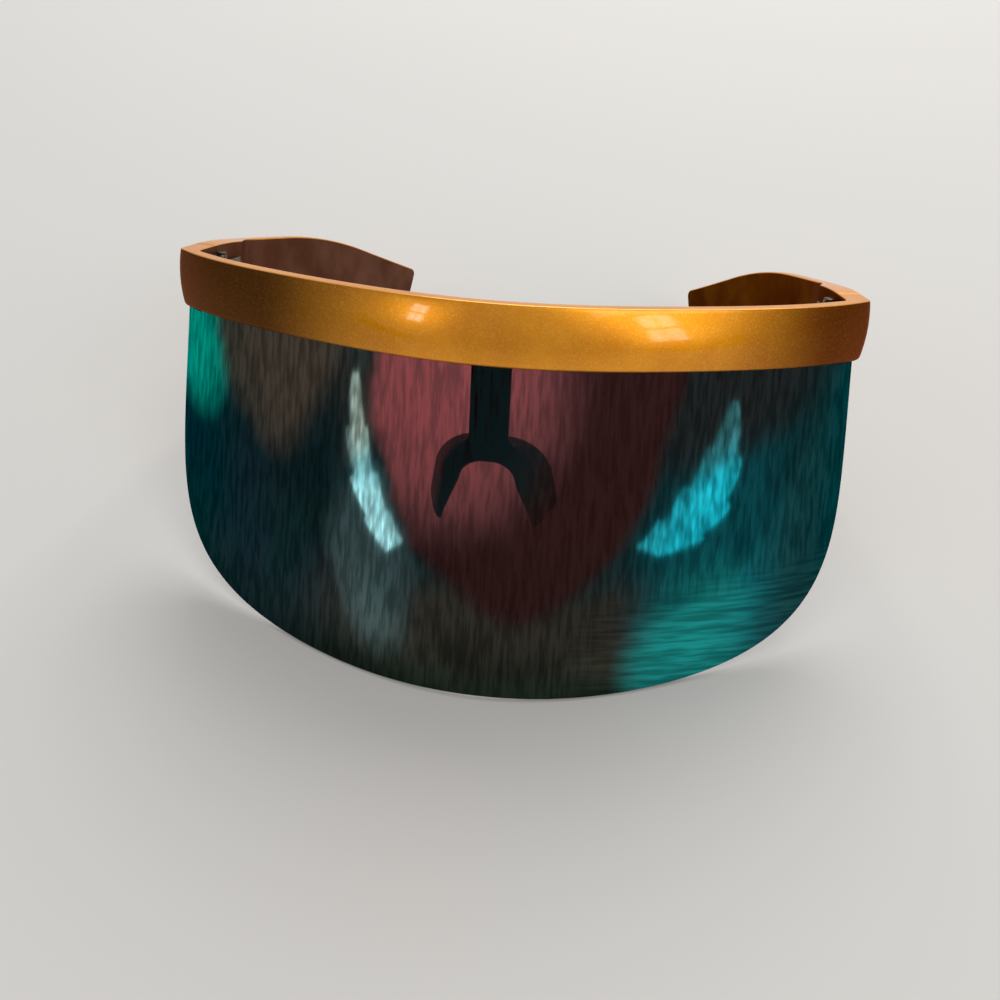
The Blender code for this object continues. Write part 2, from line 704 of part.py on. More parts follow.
def make_side(side, name, stance, bar, finishes):
    """One temple with its hinge and screws, the screw holes in the bar's end piece, and the axis empty."""
    steel = finishes["steel"]
    axis_frame = hinge_frame(side)
    origin = axis_frame.translation.copy()
    axis = empty(f"{name}_temple_axis", origin, stance)
    front_middle = -(FRONT_LEAF_LENGTH + BARREL_RADIUS) / 2
    front_holes = [(front_middle, way * FRONT_SCREW_SPACING / 2) for way in (1, -1)]
    middle = (TEMPLE_LEAF_LENGTH + BARREL_RADIUS) / 2
    temple_holes = [(middle + way * TEMPLE_SCREW_SPACING / 2, 0.0) for way in (-1, 1)]
    temple = object_from(f"{name}_temple", lambda work: loft(work, temple_rings(side)), finishes["paint"])
    front_leaf = make_leaf(
        f"{name}_front_hinge_leaf", side, -1, FRONT_LEAF_LENGTH, HINGE_HEIGHT, (1, 3), front_holes, steel
    )
    inner_height = HINGE_HEIGHT * (HINGE_KNUCKLES - 2) / HINGE_KNUCKLES - HINGE_GAP
    temple_leaf = make_leaf(
        f"{name}_temple_hinge_leaf", side, 1, TEMPLE_LEAF_LENGTH, inner_height, (2,), temple_holes, steel
    )
    hinge_top = axis_frame @ Matrix.Translation((0, 0, HINGE_HEIGHT / 2 + SCREW_GAP))
    hinge_screw = make_screw(
        f"{name}_hinge_screw", hinge_top, HINGE_SCREW_RADIUS, HINGE_SCREW_HEAD_RADIUS, HINGE_HEIGHT, steel
    )
    fixed, moving = [front_leaf, hinge_screw], [temple, temple_leaf]
    length = LEAF_THICKNESS + SEAT_GAP + LEAF_SCREW_BITE
    for holes, carrier, group, label in (
        (front_holes, bar, fixed, "front_leaf_screw"),
        (temple_holes, temple, moving, "temple_leaf_screw"),
    ):
        for number, (along, up) in enumerate(holes, 1):
            frame = leaf_screw_frame(side, along, up)
            screw_name = f"{name}_{label}_{number}"
            screw = make_screw(screw_name, frame, LEAF_SCREW_RADIUS, LEAF_SCREW_HEAD_RADIUS, length, steel)
            group.append(screw)
            hole = screw_hole(f"{screw_name}_hole", frame, LEAF_SCREW_RADIUS, length)
            boolean(carrier, hole)
    for piece in with_cutters(moving):
        hold(piece, axis, origin)
    return fixed


def spread(objects, lean, axis):
    """The least and greatest place of some level objects along a world axis, once they lean back."""
    turn = Matrix.Rotation(-lean, 4, "X")
    places = []
    for piece in objects:
        shift = piece.parent.location if piece.parent else Vector()
        places += [(turn @ (vert.co + shift))[axis] for vert in piece.data.vertices]
    return min(places), max(places)


def stand(stance, bar, lens, temples):
    """Leans the glasses back until lens and temple tips reach equally low, and centres them."""
    across_floor, up = 1, 2
    low, high = 0.0, math.pi / 3
    halvings = 40
    for _ in range(halvings):
        lean = (low + high) / 2
        if spread([lens], lean, up)[0] < spread(temples, lean, up)[0]:
            low = lean
        else:
            high = lean
    everything = [bar, lens, *temples]
    front, back = spread(everything, lean, across_floor)
    stance.rotation_euler = (-lean, 0, 0)
    stance.location = (0, -(front + back) / 2, -spread(everything, lean, up)[0])


def main():
    finishes = {
        "paint": material("gold_pearl_paint", (0.60, 0.28, 0.03), 0.28, metallic=0.6, coat=1.0),
        "lens": material("teal_mirror_lens", (0.02, 0.22, 0.25), 0.05, metallic=0.8, alpha=0.6),
        "black": material("black_nose_rubber", (0.012, 0.012, 0.014), 0.45),
        "steel": material("hinge_steel", (0.55, 0.55, 0.57), 0.3, metallic=1.0),
    }
    stance = empty("stance", (0, 0, 0), None)
    paint = finishes["paint"]
    bar = object_from("brow_bar", lambda work: loft(work, bar_rings(), close_start=False), paint)
    mirror = bar.modifiers.new("other_half", "MIRROR")
    mirror.merge_threshold = WELD_SHARE * SCREW_GAP
    boolean(bar, make_groove())
    lens = make_lens(finishes["lens"])
    nose = make_nose_piece(finishes["black"])
    fixed = [bar, lens, nose]
    length = STEM_THICKNESS + SEAT_GAP + NOSE_SCREW_BITE
    for side, name in ((-1, "left"), (1, "right")):
        frame = nose_screw_frame(side)
        screw_name = f"{name}_nose_screw"
        head = NOSE_SCREW_HEAD_RADIUS
        fixed.append(make_screw(screw_name, frame, NOSE_SCREW_RADIUS, head, length, finishes["steel"]))
        hole = screw_hole(f"{screw_name}_hole", frame, NOSE_SCREW_RADIUS, length)
        boolean(bar, hole)
        boolean(nose, hole)
    for side, name in ((-1, "left"), (1, "right")):
        fixed += make_side(side, name, stance, bar, finishes)
    for piece in with_cutters(fixed):
        piece.parent = stance
    temples = [PARTS.objects["left_temple"], PARTS.objects["right_temple"]]
    stand(stance, bar, lens, temples)


clear_scene()
PARTS = new_collection("visor_sunglasses")
CUTTERS = new_collection("cutters")
main()
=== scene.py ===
"""Looks of the visor sunglasses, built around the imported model.

The glasses are worked out level, with the middle of the bar's front top edge at the origin, +X to the right
of the picture and -Y the way the lens faces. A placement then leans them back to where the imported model
stands. Sizes are in metres, and angles in radians unless it says degrees.
"""

import json
import logging
import math
from dataclasses import dataclass, field
from enum import Enum
from typing import Any, Sequence, Union

import bmesh
import bpy
from mathutils import Matrix, Vector, geometry


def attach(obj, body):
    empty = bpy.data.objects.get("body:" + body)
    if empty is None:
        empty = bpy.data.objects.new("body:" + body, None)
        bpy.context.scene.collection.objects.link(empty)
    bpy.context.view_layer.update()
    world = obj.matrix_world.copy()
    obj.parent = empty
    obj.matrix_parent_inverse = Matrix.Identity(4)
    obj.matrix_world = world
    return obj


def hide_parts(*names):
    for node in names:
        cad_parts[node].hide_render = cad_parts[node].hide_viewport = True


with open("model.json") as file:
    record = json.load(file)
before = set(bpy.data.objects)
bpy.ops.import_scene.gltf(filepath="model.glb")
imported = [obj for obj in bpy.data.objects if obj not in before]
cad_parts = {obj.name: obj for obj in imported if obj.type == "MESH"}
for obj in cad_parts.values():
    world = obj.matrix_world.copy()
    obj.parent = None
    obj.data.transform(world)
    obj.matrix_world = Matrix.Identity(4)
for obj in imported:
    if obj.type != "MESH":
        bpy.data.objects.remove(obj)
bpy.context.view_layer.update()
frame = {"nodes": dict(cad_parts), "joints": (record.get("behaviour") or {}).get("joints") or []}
LOG = logging.getLogger("visor_sunglasses")
RIGHT_FOLD = next(joint for joint in frame["joints"] if joint["name"] == "right_fold")

# The level glasses' way up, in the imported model
UPWARD = tuple(Vector(RIGHT_FOLD["axis"]).normalized())

# No edge is sharper than this, so it leaves a whole mesh smooth
ALL_SMOOTH = math.pi

Colour = tuple[float, float, float]
Plan = tuple[float, float]
SectionPoint = tuple[float, float, float]


# Nodes


class Number:
    """A number in a node tree, which takes part in Python expressions."""

    def __init__(self, nodes: "Nodes", socket: bpy.types.NodeSocket) -> None:
        """Wraps one output socket."""
        self.nodes = nodes
        self.socket = socket

    def __add__(self, other: "Amount") -> "Number":
        """Sum."""
        return self.nodes.maths("ADD", self, other)

    def __radd__(self, other: "Amount") -> "Number":
        """Sum, reflected."""
        return self.nodes.maths("ADD", other, self)

    def __sub__(self, other: "Amount") -> "Number":
        """Difference."""
        return self.nodes.maths("SUBTRACT", self, other)

    def __rsub__(self, other: "Amount") -> "Number":
        """Difference, reflected."""
        return self.nodes.maths("SUBTRACT", other, self)

    def __mul__(self, other: "Amount") -> "Number":
        """Product."""
        return self.nodes.maths("MULTIPLY", self, other)

    def __rmul__(self, other: "Amount") -> "Number":
        """Product, reflected."""
        return self.nodes.maths("MULTIPLY", other, self)

    def __truediv__(self, other: "Amount") -> "Number":
        """Quotient."""
        return self.nodes.maths("DIVIDE", self, other)

    def __rtruediv__(self, other: "Amount") -> "Number":
        """Quotient, reflected."""
        return self.nodes.maths("DIVIDE", other, self)

    def __pow__(self, other: "Amount") -> "Number":
        """Power."""
        return self.nodes.maths("POWER", self, other)

    def __neg__(self) -> "Number":
        """Opposite."""
        return self.nodes.maths("MULTIPLY", self, -1.0)


Amount = Union[Number, float]


@dataclass(frozen=True)
class Pattern:
    """A soft noise: how wide its patches are, how many octaves it has and how rough they are."""

    size: float
    detail: float = 2.0
    rough: float = 0.5


class Nodes:
    """Adds nodes to one tree, of a material, the world or a Geometry Nodes group."""

    def __init__(self, tree: bpy.types.NodeTree) -> None:
        """Keeps the tree that the nodes go into."""
        self.tree = tree

    def add(
        self, kind: str, settings: dict[str, Any] | None = None, values: dict[Any, Any] | None = None
    ) -> bpy.types.Node:
        """Adds one node.

        Args:
            kind: the node's type.
            settings: its properties, set first.
            values: what each input gets, by identifier, name or index.

        Returns:
            The new node.
        """
        node = self.tree.nodes.new(kind)
        for name, value in (settings or {}).items():
            setattr(node, name, value)
        self.feed(node, values or {})
        return node

    def feed(self, node: bpy.types.Node, values: dict[Any, Any]) -> None:
        """Gives a node's inputs what they take: a Number, a socket or a plain value each.

        Args:
            node: the node.
            values: what each input gets, by identifier, name or index.
        """
        for key, value in values.items():
            socket = self._input(node, key)
            if isinstance(value, Number):
                value = value.socket
            if isinstance(value, bpy.types.NodeSocket):
                self.tree.links.new(value, socket)
            else:
                socket.default_value = value

    @staticmethod
    def _input(node: bpy.types.Node, key: Any) -> bpy.types.NodeSocket:
        """The input of a node with that identifier, name or index.

        Args:
            node: the node.
            key: the input's identifier, name or index.

        Returns:
            The input.
        """
        if isinstance(key, str):
            for socket in node.inputs:
                if socket.identifier == key:
                    return socket
        return node.inputs[key]

    def maths(self, operation: str, *terms: Amount) -> Number:
        """One Math node on numbers."""
        node = self.add("ShaderNodeMath", {"operation": operation}, dict(enumerate(terms)))
        return Number(self, node.outputs[0])

    def smooth(self, value: Amount, low: float, high: float) -> Number:
        """0 where the value is at low, 1 where it is at high, with a soft step between them.

        Args:
            value: what is measured.
            low: the value that gives 0.
            high: the value that gives 1, which may be less than low.

        Returns:
            A number between 0 and 1.
        """
        settings = {"interpolation_type": "SMOOTHSTEP"}
        values = {"Value": value, "From Min": low, "From Max": high}
        return Number(self, self.add("ShaderNodeMapRange", settings, values).outputs[0])

    def blend(self, factor: Amount, first: Any, second: Any) -> bpy.types.NodeSocket:
        """Colour between two colours.

        Args:
            factor: the second colour's share.
            first: a plain colour or a socket.
            second: another.

        Returns:
            The blended colour.
        """
        values = {"Factor_Float": factor, "A_Color": opaque(first), "B_Color": opaque(second)}
        node = self.add("ShaderNodeMix", {"data_type": "RGBA"}, values)
        return next(out for out in node.outputs if out.identifier == "Result_Color")

    def place(self) -> bpy.types.NodeSocket:
        """A piece's own coordinates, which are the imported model's too."""
        return self.add("ShaderNodeTexCoord").outputs["Object"]

    def split(self, vector: bpy.types.NodeSocket) -> tuple[Number, Number, Number]:
        """The three parts of a vector."""
        node = self.add("ShaderNodeSeparateXYZ", None, {0: vector})
        return Number(self, node.outputs[0]), Number(self, node.outputs[1]), Number(self, node.outputs[2])

    def noise(self, pattern: Pattern, where: bpy.types.NodeSocket) -> Number:
        """Soft noise of one pattern."""
        sizes = {"Scale": 1.0 / pattern.size, "Detail": pattern.detail, "Roughness": pattern.rough}
        return Number(self, self.add("ShaderNodeTexNoise", None, {"Vector": where, **sizes}).outputs[0])

    def cells(self, size: float, where: bpy.types.NodeSocket) -> bpy.types.Node:
        """Cells about as wide as size, in metres."""
        return self.add("ShaderNodeTexVoronoi", None, {"Vector": where, "Scale": 1.0 / size})

    def bump(self, height: Amount, distance: float, strength: float) -> bpy.types.NodeSocket:
        """A normal from a height between 0 and 1, which stands distance high, in metres."""
        values = {"Height": height, "Distance": distance, "Strength": strength}
        return self.add("ShaderNodeBump", None, values).outputs[0]


def opaque(colour: Any) -> Any:
    """A plain colour with its alpha; a socket stays as it is.

    Args:
        colour: a plain colour, a Number or a socket.

    Returns:
        What a colour input takes.
    """
    if isinstance(colour, tuple):
        return (*colour, 1.0)
    return colour.socket if isinstance(colour, Number) else colour


def new_material(name: str) -> tuple[bpy.types.Material, Nodes, bpy.types.Node, bpy.types.Node]:
    """A material with its node kit, its one shader and its output.

    Args:
        name: the material's name.

    Returns:
        The material, its node kit, its shader and its output.
    """
    made = bpy.data.materials.new(name)
    made.use_nodes = True
    tree = made.node_tree
    return made, Nodes(tree), tree.nodes["Principled BSDF"], tree.nodes["Material Output"]


# Lines that the pieces follow


@dataclass(frozen=True)
class BrowCurve:
    """Plan line of the bar's front top edge: a sum of even powers of the share of the half width."""

    half_width: float = 0.0830
    sweep: float = 0.0327
    powers: tuple[int, ...] = (2, 4, 6)
    shares: tuple[float, ...] = (1.232, -0.794, 0.562)

    def point(self, across: float) -> tuple[Vector, Vector]:
        """The line's point at a distance across, and the way square to it towards the face.

        Args:
            across: distance from the middle, to the right.

        Returns:
            The point and the way.
        """
        reach = across / self.half_width
        behind = sum(share * reach**power for power, share in zip(self.powers, self.shares))
        rise = sum(power * share * reach ** (power - 1) for power, share in zip(self.powers, self.shares))
        inward = Vector((-self.sweep / self.half_width * rise, 1.0, 0.0)).normalized()
        return Vector((across, self.sweep * behind, 0.0)), inward


@dataclass(frozen=True)
class SideCurve:
    """Plan line of the right side, from the bar's corner back along the temple, toeing in as it goes."""

    brow: BrowCurve = BrowCurve()
    thickness: float = 0.0058
    toe_start: float = math.radians(7)
    toe_end: float = math.radians(28.5)
    end_piece: float = 0.0070
    seam: float = 0.0003
    temple: float = 0.1095

    @property
    def length(self) -> float:
        """Whole length of the line."""
        return self.end_piece + self.seam + self.temple

    def frame(self, along: float) -> tuple[Vector, Vector, Vector]:
        """A point of the line, and the ways back along it and inwards.

        Args:
            along: distance from the bar's corner.

        Returns:
            The point, the way back and the way inwards.
        """
        corner = self.brow.point(self.brow.half_width)[0]
        turn = (self.toe_end - self.toe_start) / self.length
        toe = self.toe_start + turn * along
        across = math.cos(toe) - math.cos(self.toe_start)
        behind = math.sin(toe) - math.sin(self.toe_start)
        back = Vector((-math.sin(toe), math.cos(toe), 0.0))
        inward = Vector((-math.cos(toe), -math.sin(toe), 0.0))
        return corner + Vector((across, behind, 0.0)) / turn, back, inward


class Side(Enum):
    """The two sides, with the sign of their X."""

    LEFT = -1
    RIGHT = 1

    @property
    def label(self) -> str:
        """The side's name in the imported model."""
        return self.name.lower()

    @property
    def arm(self) -> str:
        """The body that folds on this side."""
        return f"{self.label}_arm"

    def mirror(self, point: Vector) -> Vector:
        """A point or way of the right side, on this side."""
        return Vector((self.value * point.x, point.y, point.z))


@dataclass(frozen=True)
class Wall:
    """Cross section of bar and temples: a crowned outer face, a flat inner one and rounded edges."""

    height: float
    crown: float
    top_round: float
    low_round: float
    face_steps: int = 18
    round_steps: int = 5
    support: float = 0.00016

    def section(self, thickness: float, inset: float = 0.0) -> list[SectionPoint]:
        """Outline of the wall, down the outer face and up the inner one.

        Args:
            thickness: from the outer face to the inner one.
            inset: how far the whole outline is drawn in, at a chamfered end.

        Returns:
            For each point its depth behind the outer face, its height above the top, and the crown's lift.
        """
        quarter = math.pi / 2
        top, low, steps = self.top_round, self.low_round, self.round_steps
        outer = arc((top, -top), top, quarter, 2 * quarter, steps)
        span = self.height - top - low
        outer += [(0.0, -top - span * k / self.face_steps) for k in range(1, self.face_steps)]
        outer += arc((low, low - self.height), low, 2 * quarter, 3 * quarter, steps)
        back = thickness - top
        outer.append((low + self.support, -self.height))
        inner = [(back - self.support, -self.height)]
        inner += arc((back, top - self.height), top, 3 * quarter, 4 * quarter, steps)
        inner += [(thickness, top + self.support - self.height), (thickness, -top - self.support)]
        inner += arc((back, -top), top, 0.0, quarter, steps)
        inner += [(back - self.support, 0.0), (top + self.support, 0.0)]
        middle = self.height / 2
        points = []
        for depth, drop in outer:
            bulge = self.crown * (1 - ((drop + middle) / middle) ** 2) * (1 - depth / thickness)
            points.append((depth, drop, bulge))
        points += [(depth, drop, 0.0) for depth, drop in inner]
        narrow, short = 1 - 2 * inset / thickness, 1 - 2 * inset / self.height
        centre = thickness / 2
        drawn = []
        for depth, rise, bulge in points:
            across = centre + (depth - centre) * narrow
            drawn.append((across, (rise + middle) * short - middle, bulge * narrow))
        return drawn

    def inner_faces(self) -> range:
        """Which sides of the outline are the inner face with its lower edge."""
        first = 2 * (self.round_steps + 1) + self.face_steps
        return range(first + 1, first + self.round_steps + 4)


def arc(centre: Plan, radius: float, start: float, end: float, steps: int) -> list[Plan]:
    """Points round a centre in a plane, from one angle to another."""
    angles = [start + (end - start) * k / steps for k in range(steps + 1)]
    return [(centre[0] + radius * math.cos(a), centre[1] + radius * math.sin(a)) for a in angles]


@dataclass(frozen=True)
class Placement:
    """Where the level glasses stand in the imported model, read from its joints."""

    matrix: Matrix

    @classmethod
    def from_frame(cls, hinge_level: Vector) -> "Placement":
        """Leans the glasses as far as the right temple's axis leans, and puts that axis in its place.

        Args:
            hinge_level: the middle of the right hinge's axis on the level glasses.

        Returns:
            The placement.
        """
        turn = Matrix.Rotation(-math.atan2(UPWARD[1], UPWARD[2]), 4, "X")
        shift = Vector(RIGHT_FOLD["pos_m"]) - turn @ hinge_level
        return cls(Matrix.Translation(shift) @ turn)

    def put(self, obj: bpy.types.Object) -> None:
        """Moves a level mesh to where it stands; its object stays at the origin."""
        obj.data.transform(self.matrix)


# Mesh helpers


def new_object(name: str, mesh: bpy.types.Mesh) -> bpy.types.Object:
    """A new object at the origin with that mesh.

    Args:
        name: the object's name.
        mesh: its mesh.

    Returns:
        The object.
    """
    made = bpy.data.objects.new(name, mesh)
    bpy.context.scene.collection.objects.link(made)
    return made


def mesh_object(name: str, work: bmesh.types.BMesh, sharp: float = ALL_SMOOTH) -> bpy.types.Object:
    """An object from a bmesh, smooth but for edges sharper than an angle.

    Args:
        name: the object's name.
        work: the bmesh, which is freed.
        sharp: the angle.

    Returns:
        The object.
    """
    mesh = bpy.data.meshes.new(name)
    work.to_mesh(mesh)
    work.free()
    mesh.shade_smooth()
    mesh.set_sharp_from_angle(angle=sharp)
    return new_object(name, mesh)


def applied(obj: bpy.types.Object, sharp: float | None = None) -> bpy.types.Object:
    """Turns an object's modifiers into plain mesh and removes them.

    Args:
        obj: the object.
        sharp: the angle past which edges are sharp; without it the shading stays as it is.

    Returns:
        The same object.
    """
    bpy.context.view_layer.update()
    graph = bpy.context.evaluated_depsgraph_get()
    mesh = bpy.data.meshes.new_from_object(obj.evaluated_get(graph))
    obj.modifiers.clear()
    old = obj.data
    obj.data = mesh
    bpy.data.meshes.remove(old)
    mesh.name = obj.name
    if sharp is not None:
        mesh.shade_smooth()
        mesh.set_sharp_from_angle(angle=sharp)
    return obj


def light_only(lamp: bpy.types.Object, names: Sequence[str]) -> None:
    """Lets a light shine only on the named objects; no names means on everything.

    Args:
        lamp: the light.
        names: the objects that it shines on.
    """
    if names:
        lit = bpy.data.collections.new(f"{lamp.name}_shines_on")
        for name in names:
            lit.objects.link(bpy.data.objects[name])
        lamp.light_linking.receiver_collection = lit


def discard(*objects: bpy.types.Object) -> None:
    """Removes helper objects with their meshes.

    Args:
        objects: the helpers.
    """
    for obj in objects:
        mesh = obj.data
        bpy.data.objects.remove(obj)
        bpy.data.meshes.remove(mesh)


def loft(work: bmesh.types.BMesh, rings: Sequence[Sequence[Vector]], marked: range = range(0)) -> None:
    """Joins closed rings into a skin with closed ends; the marked sides get the second material.

    Args:
        work: the bmesh that gets the skin.
        rings: the rings' points, as many in each ring.
        marked: the marked sides, counted round a ring.
    """
    loops = [[work.verts.new(point) for point in ring] for ring in rings]
    for low, high in zip(loops, loops[1:]):
        for i, start in enumerate(low):
            j = (i + 1) % len(low)
            face = work.faces.new((start, low[j], high[j], high[i]))
            face.material_index = 1 if i in marked else 0
    work.faces.new(loops[0])
    work.faces.new(loops[-1])
    bmesh.ops.recalc_face_normals(work, faces=work.faces)


def stand_for(obj: bpy.types.Object, body: str, slot: str, *nodes: str) -> None:
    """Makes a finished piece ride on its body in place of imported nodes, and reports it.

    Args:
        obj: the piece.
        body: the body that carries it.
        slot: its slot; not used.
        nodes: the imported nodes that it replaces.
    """
    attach(obj, body)
    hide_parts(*nodes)
    LOG.info("%s on %s: %d faces, for %s", obj.name, body, len(obj.data.polygons), ", ".join(nodes))


# Finishes


@dataclass(frozen=True)
class PearlPaint:
    """Gold pearl paint under gloss clear coat; painted shade round the bar's corners, painted highlight on
    top.
    """

    name: str = "gold_pearl_paint"
    light: Colour = (0.90, 0.345, 0.006)
    deep: Colour = (0.76, 0.262, 0.004)
    # Painted shade at the bar's two corners, darker on the left than on the right
    umber: Colour = (0.052, 0.0165, 0.0030)
    rust: Colour = (0.112, 0.0200, 0.0004)
    flake: Colour = (1.0, 0.62, 0.16)
    edge: Colour = (1.0, 0.50, 0.12)
    mottle: Pattern = Pattern(0.014, 3.0)
    mottle_range: Plan = (0.3, 0.7)
    # Where the painted corner shade turns from its left colour to its right one, and where it fades in
    middle_fade: Plan = (-0.01, 0.01)
    left_fade: Plan = (-0.013, -0.057)
    right_fade: Plan = (0.040, 0.076)
    back_fade: Plan = (0.022, 0.010)
    # Which faces count as top faces, which get a painted highlight and no corner shade
    top_fade: Plan = (0.45, 0.85)
    end_share: float = 0.96
    top_share: float = 0.30
    flake_size: float = 0.00027
    flake_height: float = 0.00001
    flake_bump: float = 0.20
    glint_range: Plan = (0.55, 1.0)
    glint_share: float = 0.20
    glint_loss: float = 0.8
    metallic: float = 0.86
    roughness: float = 0.33
    mottle_roughness: float = 0.06
    end_roughness: float = 0.12
    coat: float = 0.62
    coat_loss: float = 0.56
    coat_roughness: float = 0.075

    def make(self) -> bpy.types.Material:
        """Builds the material.

        Returns:
            The material.
        """
        made, nodes, shader, _ = new_material(self.name)
        where = nodes.place()
        across, behind, _ = nodes.split(where)
        mottle = nodes.noise(self.mottle, where)
        body = nodes.blend(nodes.smooth(mottle, *self.mottle_range), self.deep, self.light)
        # Painted shade: the faces turn dark brown towards the two corners, but not on top
        ends = nodes.smooth(across, *self.left_fade) + nodes.smooth(across, *self.right_fade)
        ends = ends * nodes.smooth(behind, *self.back_fade)
        # How far each face looks up: the top faces get no painted corner shade
        facing = nodes.add("ShaderNodeTexCoord").outputs["Normal"]
        upward = nodes.add("ShaderNodeVectorMath", {"operation": "DOT_PRODUCT"}, {0: facing, 1: UPWARD})
        top = nodes.smooth(Number(nodes, upward.outputs["Value"]), *self.top_fade)
        ends = ends * (1.0 - top)
        # The painted corner shade is darker on the left than on the right
        dark = nodes.blend(nodes.smooth(across, *self.middle_fade), self.umber, self.rust)
        body = nodes.blend(ends * self.end_share, body, dark)
        # Painted highlight: the top faces are drawn lighter, towards the flake colour
        body = nodes.blend(top * self.top_share, body, self.flake)
        tint, _, _ = nodes.split(nodes.cells(self.flake_size, where).outputs["Color"])
        glint = nodes.smooth(tint, *self.glint_range) * self.glint_share * (1.0 - ends * self.glint_loss)
        nodes.feed(shader, {
            "Base Color": nodes.blend(glint, body, self.flake),
            "Metallic": self.metallic,
            "Roughness": self.roughness + (mottle - 0.5) * self.mottle_roughness + ends * self.end_roughness,
            "Normal": nodes.bump(tint, self.flake_height, self.flake_bump),
            "Specular Tint": opaque(self.edge),
            "Coat Weight": self.coat - ends * self.coat_loss,
            "Coat Roughness": self.coat_roughness,
        })
        return made


@dataclass(frozen=True)
class InnerPaint:
    """Painted shade on the inner faces: dark brown paint, a mauve painted reflection left, more orange right.
    """

    name: str = "brown_inner_paint"
    # Painted shade: dark and light tones on each side; the left ones hold a painted mauve reflection
    left: tuple[Colour, Colour] = ((0.104, 0.0450, 0.0270), (0.180, 0.0840, 0.0560))
    right: tuple[Colour, Colour] = ((0.078, 0.0280, 0.0024), (0.155, 0.0640, 0.0062))
    # The colour of a painted highlight on the right side
    mauve: Colour = (0.190, 0.095, 0.075)
    grain: Colour = (0.20, 0.080, 0.030)
    edge: Colour = (0.50, 0.17, 0.06)
    mottle: Pattern = Pattern(0.011, 3.0)
    mottle_range: Plan = (0.25, 0.75)
    middle_fade: Plan = (-0.01, 0.01)
    mauve_cloud: Pattern = Pattern(0.005)
    mauve_range: Plan = (0.35, 0.65)
    mauve_start: Plan = (0.004, 0.012)
    mauve_end: Plan = (0.026, 0.014)
    mauve_share: float = 0.35
    fine: Pattern = Pattern(0.0004, 2.0, 0.6)
    fine_range: Plan = (0.55, 0.8)
    fine_share: float = 0.15
    fine_height: float = 0.00002
    fine_bump: float = 0.2
    metallic: float = 0.45
    roughness: float = 0.36
    mottle_roughness: float = 0.10
    specular: float = 0.0

    def make(self) -> bpy.types.Material:
        """Builds the material.

        Returns:
            The material.
        """
        made, nodes, shader, _ = new_material(self.name)
        where = nodes.place()
        across, behind, _ = nodes.split(where)
        mottle, fine = nodes.noise(self.mottle, where), nodes.noise(self.fine, where)
        # Painted shade: dark brown tones in patches, different on each side
        patch = nodes.smooth(mottle, *self.mottle_range)
        right = nodes.smooth(across, *self.middle_fade)
        colour = nodes.blend(right, nodes.blend(patch, *self.left), nodes.blend(patch, *self.right))
        # Painted highlight: a mauve patch on the right side, a little behind the bar's front
        painted_highlight = nodes.smooth(behind, *self.mauve_start) * nodes.smooth(behind, *self.mauve_end) * right
        painted_highlight = painted_highlight * nodes.smooth(nodes.noise(self.mauve_cloud, where), *self.mauve_range)
        colour = nodes.blend(painted_highlight * self.mauve_share, colour, self.mauve)
        colour = nodes.blend(nodes.smooth(fine, *self.fine_range) * self.fine_share, colour, self.grain)
        nodes.feed(shader, {
            "Base Color": colour,
            "Metallic": self.metallic,
            "Roughness": self.roughness + (mottle - 0.5) * self.mottle_roughness,
            "Normal": nodes.bump(fine, self.fine_height, self.fine_bump),
            "Specular IOR Level": self.specular,
            "Specular Tint": opaque(self.edge),
        })
        return made


@dataclass(frozen=True)
class Oval:
    """An oval of colour on the lens: its centre and its reach across and up, and its tilt in radians."""

    colour: Colour
    centre: Plan
    reach: Plan
    tilt: float = 0.0

    def distance(self, place: tuple[Number, Number]) -> Number:
        """The squared distance of a place from the oval's centre, 1 at its reach.

        Args:
            place: the place, across and up.

        Returns:
            The squared distance.
        """
        across, up = place[0] - self.centre[0], place[1] - self.centre[1]
        first = (across * math.cos(self.tilt) + up * math.sin(self.tilt)) / self.reach[0]
        second = (up * math.cos(self.tilt) - across * math.sin(self.tilt)) / self.reach[1]
        return first * first + second * second

    def spot(self, nodes: Nodes, place: tuple[Number, Number]) -> Number:
        """The oval as a soft patch, 1 at its centre and 0 from its reach outwards."""
        return nodes.smooth(self.distance(place), 1.0, 0.0)


